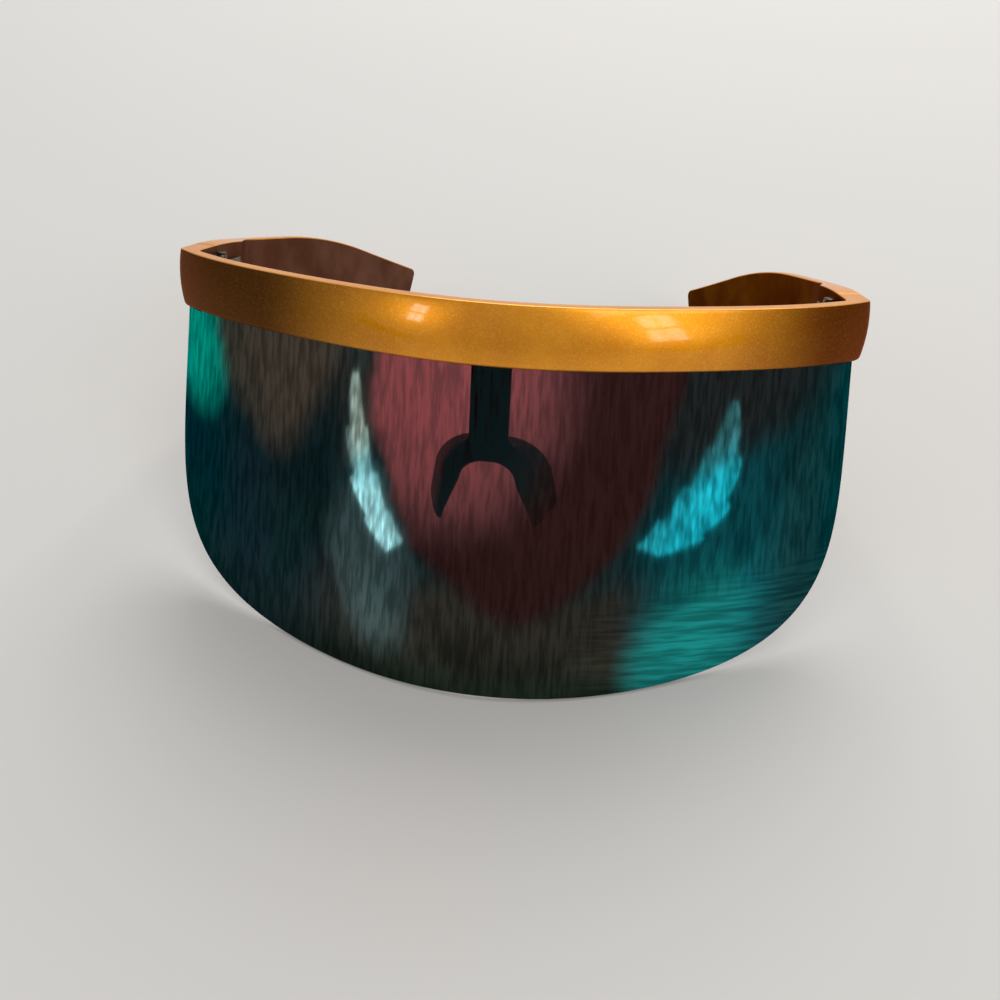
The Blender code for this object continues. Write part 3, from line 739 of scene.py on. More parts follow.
@dataclass(frozen=True)
class MirrorLens:
    """Teal mirror coat over a maroon tint, clearest in the middle; its colours are painted reflections."""

    name: str = "teal_mirror_lens"
    tint: Colour = (0.80, 0.235, 0.250)
    edge: Colour = (0.10, 0.48, 0.52)
    # Painted reflections: dark above, then the ground and the floor towards the bottom
    dusk: Colour = (0.014, 0.046, 0.050)
    ground: Colour = (0.056, 0.050, 0.038)
    floor: Colour = (0.016, 0.024, 0.018)
    ground_fade: Plan = (0.030, 0.020)
    floor_fade: Plan = (0.018, 0.002)
    cloud: Pattern = Pattern(0.026, 3.0, 0.55)
    sway: float = 0.011
    # Ten painted reflections of the surroundings, each a soft oval of one colour
    tones: tuple[Oval, ...] = (
        Oval((0.009, 0.023, 0.031), (-0.060, 0.026), (0.038, 0.036)),
        Oval((0.110, 0.084, 0.060), (-0.048, 0.060), (0.030, 0.021)),
        Oval((0.078, 0.135, 0.140), (-0.026, 0.026), (0.014, 0.024), 0.12),
        Oval((0.008, 0.026, 0.029), (-0.042, 0.038), (0.009, 0.042), -0.37),
        Oval((0.008, 0.365, 0.280), (-0.080, 0.0555), (0.014, 0.0195), 0.20),
        Oval((0.026, 0.032, 0.060), (-0.084, 0.0745), (0.014, 0.0105), -0.35),
        Oval((0.006, 0.118, 0.140), (0.060, 0.024), (0.030, 0.036)),
        Oval((0.030, 0.034, 0.034), (0.054, 0.062), (0.032, 0.017)),
        Oval((0.008, 0.046, 0.052), (0.084, 0.034), (0.022, 0.050)),
        Oval((0.012, 0.270, 0.262), (0.051, 0.006), (0.018, 0.028), -0.06),
    )
    # The see-through middle with its dark painted reflection, and a teal one where it is clearest
    window: Oval = Oval((0.036, 0.017, 0.015), (0.008, 0.065), (0.034, 0.045))
    window_fade: Plan = (1.12, 0.86)
    bright: Oval = Oval((0.010, 0.062, 0.068), (-0.013, 0.066), (0.038, 0.036))
    leak: float = 0.05
    bright_leak: float = 0.50
    grain_leak: float = 0.40
    # Fine painted streaks of a reflected floor, which lighten, darken and clear the lens
    grain: Pattern = Pattern(0.0011, 2.0, 0.55)
    grain_range: Plan = (0.34, 0.66)
    upright_stretch: float = 0.075
    level_stretch: float = 0.08
    level_drop: Plan = (0.026, 0.016)
    level_side: Plan = (0.018, 0.036)
    grain_dark: float = 0.70
    grain_light: float = 0.66
    gloss_bend: float = 0.35
    gloss_share: float = 0.02
    streaks: Pattern = Pattern(0.012)
    roughness: float = 0.035
    streak_roughness: float = 0.03

    def make(self) -> bpy.types.Material:
        """Builds the material.

        Returns:
            The material.
        """
        made, nodes, shader, output = new_material(self.name)
        where = nodes.place()
        across, _, up = nodes.split(where)
        sway = (nodes.noise(self.cloud, where) - 0.5) * self.sway
        place = (across + sway, up + sway)
        # Painted reflections: dark above, the ground and the floor lower down, then the ovals
        colour = nodes.blend(nodes.smooth(place[1], *self.ground_fade), self.dusk, self.ground)
        colour = nodes.blend(nodes.smooth(place[1], *self.floor_fade), colour, self.floor)
        for reflection in self.tones:
            colour = nodes.blend(reflection.spot(nodes, place), colour, reflection.colour)
        # Painted streaks of a reflected floor run across the lens low on the right
        level = nodes.smooth(place[1], *self.level_drop) * nodes.smooth(across, *self.level_side)
        grain = self.streaked(nodes, where, level)
        # The see-through middle gets its own painted reflection
        window = nodes.smooth(self.window.distance(place), *self.window_fade)
        bright = self.bright.spot(nodes, place)
        behind = nodes.blend(bright, self.window.colour, self.bright.colour)
        colour = nodes.blend(window, colour, behind)
        # The painted streaks lighten and darken the colour
        values = {0: colour, "Scale": self.grain_dark + grain * self.grain_light}
        lit = nodes.add("ShaderNodeVectorMath", {"operation": "SCALE"}, values)
        nodes.feed(shader, {
            "Base Color": lit.outputs[0],
            "Metallic": 1.0,
            "Roughness": self.roughness + nodes.noise(self.streaks, where) * self.streak_roughness,
            "Specular Tint": opaque(self.edge),
        })
        facing = nodes.add("ShaderNodeLayerWeight", None, {"Blend": self.gloss_bend}).outputs["Facing"]
        clear = window * (self.leak + bright * (self.bright_leak + grain * self.grain_leak))
        cover = nodes.maths("MINIMUM", 1.0 - clear + Number(nodes, facing) * self.gloss_share, 1.0)
        see_through(nodes, output, shader, self.tint, cover)
        return made

    def streaked(self, nodes: Nodes, where: bpy.types.NodeSocket, level: Number) -> Number:
        """Fine painted streaks of a reflected floor, up the lens, or across it where level is 1; between 0
        and 1.

        Args:
            nodes: the material's node kit.
            where: the lens' own coordinates.
            level: how far the streaks run across, from 0 to 1.

        Returns:
            The streaks' strength.
        """
        across, behind, up = nodes.split(where)
        tall = behind * UPWARD[1] + up * UPWARD[2]
        deep = behind * UPWARD[2] - up * UPWARD[1]
        ways = []
        for along, upright in ((1.0, self.upright_stretch), (self.level_stretch, 1.0)):
            values = {0: across * along, 1: deep * along, 2: tall * upright}
            place = nodes.add("ShaderNodeCombineXYZ", None, values).outputs[0]
            ways.append(nodes.smooth(nodes.noise(self.grain, place), *self.grain_range))
        return ways[0] + (ways[1] - ways[0]) * level


@dataclass(frozen=True)
class LensTint:
    """The lens' back: the plain dark tint with a faint gloss."""

    name: str = "maroon_lens_tint"
    tint: Colour = (0.62, 0.50, 0.52)
    gloss: Colour = (0.030, 0.012, 0.016)
    cloud: Pattern = Pattern(0.020)
    cover: float = 0.16
    cloud_cover: float = 0.04
    roughness: float = 0.05
    cloud_roughness: float = 0.04
    specular: float = 0.25

    def make(self) -> bpy.types.Material:
        """Builds the material.

        Returns:
            The material.
        """
        made, nodes, shader, output = new_material(self.name)
        cloud = nodes.noise(self.cloud, nodes.place())
        nodes.feed(shader, {
            "Base Color": opaque(self.gloss),
            "Roughness": self.roughness + cloud * self.cloud_roughness,
            "Specular IOR Level": self.specular,
        })
        see_through(nodes, output, shader, self.tint, self.cover + (cloud - 0.5) * self.cloud_cover)
        return made


def see_through(
    nodes: Nodes, output: bpy.types.Node, shader: bpy.types.Node, tint: Colour, cover: Number
) -> None:
    """Shows a tinted clear layer through a shader, which covers it wholly where cover is 1.

    Args:
        nodes: the material's node kit.
        output: the material's output.
        shader: the shader that covers the clear layer.
        tint: the clear layer's colour.
        cover: how much of it the shader covers.
    """
    clear = nodes.add("ShaderNodeBsdfTransparent", None, {"Color": opaque(tint)})
    values = {0: cover, 1: clear.outputs[0], 2: shader.outputs[0]}
    nodes.feed(output, {"Surface": nodes.add("ShaderNodeMixShader", None, values).outputs[0]})


@dataclass(frozen=True)
class LensEdge:
    """The lens' polished rim, nearly black."""

    name: str = "dark_lens_edge"
    dark: Colour = (0.010, 0.014, 0.016)
    light: Colour = (0.030, 0.042, 0.048)
    cut: Pattern = Pattern(0.0016, 3.0, 0.6)
    roughness: float = 0.16
    cut_roughness: float = 0.16

    def make(self) -> bpy.types.Material:
        """Builds the material.

        Returns:
            The material.
        """
        made, nodes, shader, _ = new_material(self.name)
        cut = nodes.noise(self.cut, nodes.place())
        nodes.feed(shader, {
            "Base Color": nodes.blend(cut, self.dark, self.light),
            "Roughness": self.roughness + cut * self.cut_roughness,
        })
        return made


@dataclass(frozen=True)
class NoseRubber:
    """Satin black moulded rubber with a fine spark texture."""

    name: str = "black_nose_rubber"
    dark: Colour = (0.0065, 0.0075, 0.0085)
    worn: Colour = (0.013, 0.0145, 0.016)
    cloud: Pattern = Pattern(0.006, 3.0, 0.55)
    worn_range: Plan = (0.4, 0.75)
    spark: Pattern = Pattern(0.00022, 2.0, 0.6)
    spark_height: float = 0.00003
    spark_bump: float = 0.4
    roughness: float = 0.40
    cloud_roughness: float = 0.2
    specular: float = 0.25

    def make(self) -> bpy.types.Material:
        """Builds the material.

        Returns:
            The material.
        """
        made, nodes, shader, _ = new_material(self.name)
        where = nodes.place()
        cloud = nodes.noise(self.cloud, where)
        nodes.feed(shader, {
            "Base Color": nodes.blend(nodes.smooth(cloud, *self.worn_range), self.dark, self.worn),
            "Roughness": self.roughness + (cloud - 0.5) * self.cloud_roughness,
            "Normal": nodes.bump(nodes.noise(self.spark, where), self.spark_height, self.spark_bump),
            "Specular IOR Level": self.specular,
        })
        return made


@dataclass(frozen=True)
class HingeSteel:
    """Drawn steel with fine lines along the hinge's height and darker patches."""

    name: str = "brushed_hinge_steel"
    bright: Colour = (0.27, 0.225, 0.170)
    dull: Colour = (0.085, 0.069, 0.054)
    lines: Pattern = Pattern(0.00012, 2.0, 0.6)
    line_stretch: float = 0.06
    line_share: float = 0.5
    line_height: float = 0.00001
    line_bump: float = 0.4
    cloud: Pattern = Pattern(0.0015, 3.0, 0.6)
    shade_range: Plan = (0.35, 0.65)
    roughness: float = 0.24
    line_roughness: float = 0.18

    def make(self) -> bpy.types.Material:
        """Builds the material.

        Returns:
            The material.
        """
        made, nodes, shader, _ = new_material(self.name)
        where = nodes.place()
        values = {"Vector": where, "Scale": (1.0, 1.0, self.line_stretch)}
        drawn = nodes.add("ShaderNodeMapping", None, values).outputs[0]
        lines, cloud = nodes.noise(self.lines, drawn), nodes.noise(self.cloud, where)
        shade = nodes.smooth(lines * self.line_share + cloud * (1.0 - self.line_share), *self.shade_range)
        nodes.feed(shader, {
            "Base Color": nodes.blend(shade, self.dull, self.bright),
            "Metallic": 1.0,
            "Roughness": self.roughness + lines * self.line_roughness,
            "Normal": nodes.bump(lines, self.line_height, self.line_bump),
        })
        return made


@dataclass(frozen=True)
class FloorPaint:
    """Plain pale matt floor."""

    name: str = "pale_floor"
    colour: Colour = (0.74, 0.73, 0.715)
    shade: float = 0.965
    cloud: Pattern = Pattern(0.6)
    roughness: float = 0.75
    specular: float = 0.2

    def make(self) -> bpy.types.Material:
        """Builds the material.

        Returns:
            The material.
        """
        made, nodes, shader, _ = new_material(self.name)
        shaded = tuple(self.shade * part for part in self.colour)
        nodes.feed(shader, {
            "Base Color": nodes.blend(nodes.noise(self.cloud, nodes.place()), shaded, self.colour),
            "Roughness": self.roughness,
            "Specular IOR Level": self.specular,
        })
        return made


# Brow bar


@dataclass(frozen=True)
class BrowBar:
    """The curved bar with its corners and short end pieces, and the groove that holds the lens."""

    side: SideCurve = SideCurve()
    height: float = 0.0140
    thickness: float = 0.0032
    crown: float = 0.0007
    top_round: float = 0.0003
    low_round: float = 0.0009
    fillet: float = 0.0026
    corner_round: float = 0.0012
    seam_chamfer: float = 0.00006
    seam_cover: float = 0.00008
    stations: int = 110
    corner_steps: int = 8
    end_steps: int = 6
    sharp: float = math.radians(35)

    @property
    def wall(self) -> Wall:
        """The bar's cross section."""
        return Wall(self.height, self.crown, self.top_round, self.low_round)

    def half_stations(self) -> list[tuple[Vector, Vector, Vector]]:
        """Outer and inner plan points from the middle to the seam, with the way that the crown bulges.

        Returns:
            For each station its outer point, its inner point and that way.
        """
        brow, side = self.side.brow, self.side
        half, thick = brow.half_width, side.thickness
        corner, brow_in = brow.point(half)
        side_along, side_in = side.frame(0.0)[1:]
        brow_along = Vector((brow_in.y, -brow_in.x, 0.0))
        inner_corner = corner + brow_in * self.thickness
        shift = (thick - side_in.dot(inner_corner - corner)) / side_in.dot(brow_along)
        inner_corner += brow_along * shift
        last = half - thick - self.fillet
        found = []
        for k in range(self.stations + 1):
            outer, inward = brow.point(last * k / self.stations)
            found.append((outer, outer + inward * self.thickness, -inward))
        run_end = inner_corner - brow_along * self.fillet / 2
        start = found[-1]
        straight = half - self.corner_round
        for k in range(1, self.corner_steps + 1):
            share = k / self.corner_steps
            outer, inward = brow.point(last + (straight - last) * share)
            found.append((outer, start[1].lerp(run_end, share), -inward))
        side_run = inner_corner + side_along * self.fillet / 2
        outer_start, outer_end = brow.point(straight)[0], side.frame(self.corner_round)[0]
        for k in range(1, self.corner_steps + 1):
            share = k / self.corner_steps
            outer = quadratic(outer_start, corner, outer_end, share)
            inner = quadratic(run_end, inner_corner, side_run, share)
            way = (-brow_in).lerp(-side_in, share).normalized()
            found.append((outer, inner, way))
        for k in range(1, self.end_steps + 1):
            share = k / self.end_steps
            along = self.corner_round + (side.end_piece + self.seam_cover - self.corner_round) * share
            outer, _, inward = side.frame(along)
            level_inner = outer + inward * thick
            found.append((outer, level_inner, -inward))
        return found

    def ring(self, station: tuple[Vector, Vector, Vector], inset: float = 0.0) -> list[Vector]:
        """The section's points at one station.

        Args:
            station: its outer point, its inner point and the way that the crown bulges.
            inset: how far the outline is drawn in.

        Returns:
            The ring.
        """
        outer, inner, way = station
        inward, up = (inner - outer).normalized(), Vector((0.0, 0.0, 1.0))
        section = self.wall.section((inner - outer).length, inset)
        return [outer + inward * depth + way * bulge + up * rise for depth, rise, bulge in section]

    def rings(self) -> list[list[Vector]]:
        """All rings from the left seam to the right one, with chamfered ends.

        Returns:
            The rings, with as many points in each.
        """
        stations = self.half_stations()
        half = [self.ring(station) for station in stations]
        back = self.side.frame(self.side.end_piece)[1]
        drawn = [point - back * self.seam_chamfer for point in half[-1]]
        half[-1:] = [drawn, self.ring(stations[-1], self.seam_chamfer)]
        mirrored = [[Side.LEFT.mirror(point) for point in ring] for ring in half]
        return list(reversed(mirrored)) + half[1:]

    def build(self, groove: bpy.types.Object) -> bpy.types.Object:
        """The bar with its groove cut, level.

        Args:
            groove: the bent cutter.

        Returns:
            The bar.
        """
        work = bmesh.new()
        loft(work, self.rings(), self.wall.inner_faces())
        bar = mesh_object("brow_bar_painted", work)
        cut = bar.modifiers.new("groove", "BOOLEAN")
        cut.object = groove
        applied(bar, self.sharp)
        return bar


def quadratic(start: Vector, control: Vector, end: Vector, share: float) -> Vector:
    """A point of the curve that rounds a corner."""
    return start.lerp(control, share).lerp(control.lerp(end, share), share)


# Lens


class LensLayer(Enum):
    """Which part of the lens a face belongs to."""

    BACK = 0
    FRONT = 1
    RIM = 2


@dataclass(frozen=True)
class Lens:
    """The one-piece lens: a flat blank with a polished rim, bent round the brow by Geometry Nodes."""

    brow: BrowCurve = BrowCurve()
    bar: BrowBar = BrowBar()
    half_width: float = 0.0817
    height: float = 0.0792
    thickness: float = 0.0015
    inset: float = 0.0008
    side_power: float = 2.42
    bottom_power: float = 5.0
    corner_share: float = 0.82
    lean_share: float = 0.096
    flare_share: float = 0.084
    tab_depth: float = 0.0062
    tab_step: float = 0.0050
    seat: float = 0.0003
    shoulder_gap: float = 0.00006
    overrun: float = 0.0020
    bend_rise: float = 0.0010
    chamfer: float = 0.00016
    spacing: float = 0.0012
    clear_share: float = 0.6
    merge: float = 1e-7
    side_points: int = 70
    bottom_points: int = 130
    sharp: float = math.radians(30)

    def half_outline(self) -> list[Plan]:
        """Half of the flat outline, from the middle of the tab round to the middle of the bottom edge.

        Returns:
            The points, across and up.
        """
        shoulder = -self.bar.height - self.shoulder_gap
        tab_top = self.tab_depth - self.bar.height
        tab_half = self.half_width - self.tab_step
        points = [(0.0, tab_top), (tab_half, tab_top), (tab_half, shoulder)]
        for k in range(self.side_points):
            drop_share = self.corner_share * k / self.side_points
            across = (1 - drop_share**self.bottom_power) ** (1 / self.side_power)
            drop = self.shoulder_gap + (self.height - self.shoulder_gap) * drop_share
            points.append((self.half_width * across, -self.bar.height - drop))
        for k in range(self.bottom_points + 1):
            across = self.corner_share * (1 - k / self.bottom_points)
            drop_share = (1 - across**self.side_power) ** (1 / self.bottom_power)
            points.append((self.half_width * across, -self.bar.height - self.height * drop_share))
        return points

    def outline(self) -> list[Vector]:
        """The whole flat outline, with its straight runs divided as finely as the rest.

        Returns:
            The points, clockwise as seen from the front.
        """
        half = self.half_outline()
        corners = half + [(-across, up) for across, up in reversed(half[1:-1])]
        found = []
        for first, second in zip(corners, corners[1:] + corners[:1]):
            start, end = Vector(first), Vector(second)
            parts = max(1, math.ceil((end - start).length / self.spacing))
            found += [start.lerp(end, k / parts) for k in range(parts)]
        return found

    @staticmethod
    def drawn_in(outline: Sequence[Vector], amount: float) -> list[Vector]:
        """An outline moved inwards; it runs clockwise.

        Args:
            outline: the outline's points.
            amount: how far it moves.

        Returns:
            The moved points.
        """
        found = []
        for before, point, after in zip(outline[-1:] + outline[:-1], outline, outline[1:] + outline[:1]):
            first, second = (point - before).normalized(), (after - point).normalized()
            normals = [Vector((way.y, -way.x)) for way in (first, second)]
            mitre = (normals[0] + normals[1]) / (1 + normals[0].dot(normals[1]))
            found.append(point + mitre * amount)
        return found

    def flat_sheet(self, outline: list[Vector]) -> tuple[list[Vector], list[Sequence[int]]]:
        """Points and triangles that fill an outline with an even net.

        Args:
            outline: the outline's points.

        Returns:
            The points, the outline's own first, and the points of each triangle.
        """
        low = Vector((min(p.x for p in outline), min(p.y for p in outline)))
        high = Vector((max(p.x for p in outline), max(p.y for p in outline)))
        rows = int((high.y - low.y) / self.spacing)
        columns = int((high.x - low.x) / self.spacing)
        margin = self.spacing * self.clear_share
        net = []
        for row in range(1, rows):
            up = low.y + row * self.spacing
            cuts = []
            for first, second in zip(outline, outline[1:] + outline[:1]):
                if (first.y > up) != (second.y > up):
                    cuts.append(first.x + (second.x - first.x) * (up - first.y) / (second.y - first.y))
            for column in range(columns + 1):
                across = low.x + (column + 0.5 * ((row - 1) % 2)) * self.spacing
                if cuts and min(cuts) + margin < across < max(cuts) - margin:
                    net.append(Vector((across, up)))
        clear = [point for point in net if self.is_clear(point, outline, margin)]
        count = len(outline)
        edges = [(k, (k + 1) % count) for k in range(count)]
        points, _, faces, *_ = geometry.delaunay_2d_cdt(outline + clear, edges, [], 1, self.merge)
        return points, faces

    @staticmethod
    def is_clear(point: Vector, outline: Sequence[Vector], margin: float) -> bool:
        """Whether a point keeps its distance from the outline's points."""
        return all(abs(point.x - o.x) > margin or abs(point.y - o.y) > margin for o in outline)

    def blank(self) -> bpy.types.Object:
        """The flat lens: two sheets joined by a chamfered rim, with a layer number on each face.

        Returns:
            The flat lens.
        """
        rim = self.outline()
        sheet, faces = self.flat_sheet(self.drawn_in(rim, self.chamfer))
        work = bmesh.new()
        layer = work.faces.layers.int.new("layer")
        thick = self.thickness
        sides = []
        for kind, depth in ((LensLayer.FRONT, 0.0), (LensLayer.BACK, thick)):
            verts = [work.verts.new((p.x, depth, p.y)) for p in sheet]
            for face in faces:
                made = work.faces.new([verts[i] for i in face])
                made[layer] = kind.value
            sides.append(verts[: len(rim)])
        edge_front = [work.verts.new((p.x, self.chamfer, p.y)) for p in rim]
        edge_back = [work.verts.new((p.x, thick - self.chamfer, p.y)) for p in rim]
        loops = (sides[0], edge_front, edge_back, sides[1])
        for low, high in zip(loops, loops[1:]):
            for i, start in enumerate(low):
                j = (i + 1) % len(low)
                made = work.faces.new((start, low[j], high[j], high[i]))
                made[layer] = LensLayer.RIM.value
        bmesh.ops.recalc_face_normals(work, faces=work.faces)
        return mesh_object("lens_mirrored", work)

    def groove_blank(self) -> bpy.types.Object:
        """The flat cutter for the bar's groove, divided finely enough to be bent.

        Returns:
            The flat cutter.
        """
        half = self.half_width - self.tab_step + self.seat
        top = self.tab_depth - self.bar.height + self.seat
        bottom = -self.bar.height - self.overrun
        front, back = -self.seat, self.thickness + self.seat
        corners = ((front, bottom), (front, top), (back, top), (back, bottom))
        columns = round(half / self.spacing)
        work = bmesh.new()
        rings = []
        for k in range(columns + 1):
            across = half * (2 * k / columns - 1)
            rings.append([Vector((across, depth, up)) for depth, up in corners])
        loft(work, rings)
        return mesh_object("groove", work)

    def bend_tree(self, finishes: dict[LensLayer, bpy.types.Material]) -> bpy.types.NodeTree:
        """Geometry Nodes that bend a flat blank round the brow and dress its layers.

        Args:
            finishes: the material of each layer.

        Returns:
            The node group, whose inputs are the lens' sizes.
        """
        tree = bpy.data.node_groups.new("bend_round_the_brow", "GeometryNodeTree")
        tree.interface.new_socket("Geometry", in_out="OUTPUT", socket_type="NodeSocketGeometry")
        tree.interface.new_socket("Geometry", in_out="INPUT", socket_type="NodeSocketGeometry")
        for name in self.bend_inputs():
            tree.interface.new_socket(name, in_out="INPUT", socket_type="NodeSocketFloat")
        nodes = Nodes(tree)
        given = nodes.add("NodeGroupInput").outputs
        sizes = [Number(nodes, given[name]) for name in self.bend_inputs()]
        half, sweep, bar, inset, flare, lean, height = sizes
        across, behind, up = nodes.split(nodes.add("GeometryNodeInputPosition").outputs[0])
        reach = across / half
        curve: Amount = 0.0
        rise: Amount = 0.0
        for power, share in zip(self.brow.powers, self.brow.shares):
            curve = curve + reach**power * share
            rise = rise + reach ** (power - 1) * (power * share)
        slope = rise * sweep / half
        norm = nodes.maths("SQRT", slope * slope + 1.0)
        depth = (behind + inset) / norm
        below = nodes.maths("MAXIMUM", -up - bar + self.bend_rise, 0.0)
        place_x = (across - slope * depth) * (1.0 + flare * below / height)
        place_y = curve * sweep + depth - lean * below
        place = nodes.add("ShaderNodeCombineXYZ", None, {0: place_x, 1: place_y, 2: up})
        values = {"Geometry": given["Geometry"], "Position": place.outputs[0]}
        moved = nodes.add("GeometryNodeSetPosition", None, values)
        shape = nodes.add("GeometryNodeRealizeInstances", None, {"Geometry": moved.outputs[0]}).outputs[0]
        layer = nodes.add("GeometryNodeInputNamedAttribute", {"data_type": "INT"}, {"Name": "layer"})
        number = next(out for out in layer.outputs if out.enabled)
        same = {"data_type": "INT", "operation": "EQUAL"}
        for kind, finish in finishes.items():
            chosen = nodes.add("FunctionNodeCompare", same, {"A_INT": number, "B_INT": kind.value})
            values = {"Geometry": shape, "Selection": chosen.outputs[0], "Material": finish}
            shape = nodes.add("GeometryNodeSetMaterial", None, values).outputs[0]
        nodes.add("NodeGroupOutput", None, {"Geometry": shape})
        return tree

    def bend_inputs(self) -> dict[str, float]:
        """The node group's named sizes.

        Returns:
            The value of each named input.
        """
        return {
            "Half Width": self.brow.half_width,
            "Sweep": self.brow.sweep,
            "Bar Height": self.bar.height,
            "Inset": self.inset,
            "Flare": self.flare_share,
            "Lean": self.lean_share,
            "Height": self.height,
        }

    def bend(self, obj: bpy.types.Object, tree: bpy.types.NodeTree) -> None:
        """Bends a flat object with the tree and leaves it a plain mesh.

        Args:
            obj: the flat object.
            tree: the node group that bends it.
        """
        step = obj.modifiers.new("bend", "NODES")
        set_inputs(step, tree, self.bend_inputs())
        applied(obj, self.sharp)


def set_inputs(step: bpy.types.Modifier, tree: bpy.types.NodeTree, values: dict[str, Any]) -> None:
    """Gives a Geometry Nodes modifier its tree and its inputs, which are set by identifier.

    Args:
        step: the modifier.
        tree: its node group.
        values: what the named inputs get; other names are passed over.
    """
    step.node_group = tree
    for item in tree.interface.items_tree:
        if item.item_type == "SOCKET" and item.in_out == "INPUT" and item.name in values:
            step[item.identifier] = values[item.name]


# Temples


@dataclass(frozen=True)
class Temple:
    """One folding temple: a thick root, a taper and a blade that drops towards the ear."""

    side: SideCurve = SideCurve()
    bar: BrowBar = BrowBar()
    blade: float = 0.0030
    tip: float = 0.0022
    root_length: float = 0.0125
    taper_length: float = 0.0060
    tip_height: float = 0.0135
    tip_crown: float = 0.0005
    tip_low_round: float = 0.0005
    tip_round: float = 0.0018
    front_drop: float = math.radians(6)
    front_drop_length: float = 0.0120
    tail_drop: float = math.radians(20)
    bend_start: float = 0.0410
    bend_length: float = 0.0390
    slices: int = 240
    stations: int = 120
    tip_steps: int = 9
    sharp: float = math.radians(50)

    def slope(self, along: float) -> float:
        """Slope of the top edge, at a distance behind the seam.

        Args:
            along: the distance.

        Returns:
            The slope, in radians.
        """
        front = self.front_drop * min(along / self.front_drop_length, 1.0)
        bend = min(max((along - self.bend_start) / self.bend_length, 0.0), 1.0)
        return front + (self.tail_drop - self.front_drop) * bend

    def line(self) -> list[tuple[float, float]]:
        """Plan distance and drop of the top edge, in small even steps.

        Returns:
            The pairs, from the seam to the tip.
        """
        step = self.side.temple / self.slices
        plan, drop = 0.0, 0.0
        found = [(plan, drop)]
        for k in range(self.slices):
            slope = self.slope(step * (k + 0.5))
            plan += step * math.cos(slope)
            drop += step * math.sin(slope)
            found.append((plan, drop))
        return found

    def thickness(self, along: float) -> float:
        """Thickness at a distance behind the seam.

        Args:
            along: the distance.

        Returns:
            The thickness.
        """
        if along < self.root_length:
            return self.side.thickness
        taper_end = self.root_length + self.taper_length
        if along < taper_end:
            share = (along - self.root_length) / self.taper_length
            return self.side.thickness + (self.blade - self.side.thickness) * share
        return self.blade + (self.tip - self.blade) * (along - taper_end) / (self.side.temple - taper_end)

    def places(self) -> list[tuple[float, float]]:
        """Where the rings stand, each with how far its outline is drawn in at the rounded tip.

        Returns:
            The pairs, from the seam to the tip.
        """
        straight = self.side.temple - self.tip_round
        near = self.side.seam
        creases = (self.root_length, self.root_length + self.taper_length)
        even = [straight * k / self.stations for k in range(1, self.stations)]
        chosen = [p for p in even if all(abs(p - crease) > near for crease in creases)]
        chosen += [crease + shift for crease in creases for shift in (-near, 0.0, near)]
        found = [(along, 0.0) for along in sorted(chosen)]
        for k in range(self.tip_steps + 1):
            angle = math.pi / 2 * k / self.tip_steps
            drawn = self.tip_round * (1 - math.cos(angle))
            found.append((straight + self.tip_round * math.sin(angle), drawn))
        return found

    def ring(self, line: list[tuple[float, float]], along: float, drawn: float, inset: float) -> list[Vector]:
        """The section's points on the right side, at a distance behind the seam.

        Args:
            line: plan distance and drop of the top edge.
            along: the distance.
            drawn: how far the top and the bottom are drawn in at the rounded tip.
            inset: how far the whole outline is drawn in, at a chamfered end.

        Returns:
            The ring.
        """
        place = along / self.side.temple * self.slices
        first = min(max(int(place), 0), self.slices - 1)
        rest = place - first
        plan = line[first][0] + (line[first + 1][0] - line[first][0]) * rest
        drop = line[first][1] + (line[first + 1][1] - line[first][1]) * rest
        outer, back, inward = self.side.frame(self.side.end_piece + self.side.seam + plan)
        slope = self.slope(along)
        down = -(back * math.sin(slope) + Vector((0.0, 0.0, math.cos(slope))))
        share = along / self.side.temple
        bar = self.bar
        wall = Wall(
            bar.height + (self.tip_height - bar.height) * share - 2 * drawn,
            bar.crown + (self.tip_crown - bar.crown) * share,
            bar.top_round,
            bar.low_round + (self.tip_low_round - bar.low_round) * share,
        )
        top = outer - Vector((0.0, 0.0, drop))
        section = wall.section(self.thickness(along), inset)
        return [top + inward * (depth - bulge) + down * (drawn - rise) for depth, rise, bulge in section]

    def build(self, side: Side) -> bpy.types.Object:
        """The temple of one side, level.

        Args:
            side: the side.

        Returns:
            The temple.
        """
        line = self.line()
        chamfer, cover = self.bar.seam_chamfer, self.bar.seam_cover
        rings = [self.ring(line, -cover, 0.0, chamfer), self.ring(line, chamfer - cover, 0.0, 0.0)]
        rings += [self.ring(line, along, drawn, 0.0) for along, drawn in self.places()]
        last_along, last_drawn = self.places()[-1]
        rings[-1] = self.ring(line, last_along - chamfer, last_drawn - chamfer, 0.0)
        rings.append(self.ring(line, last_along, last_drawn, chamfer))
        work = bmesh.new()
        loft(work, [[side.mirror(point) for point in ring] for ring in rings], self.bar.wall.inner_faces())
        return mesh_object(f"{side.label}_temple_painted", work, self.sharp)


# Nose piece


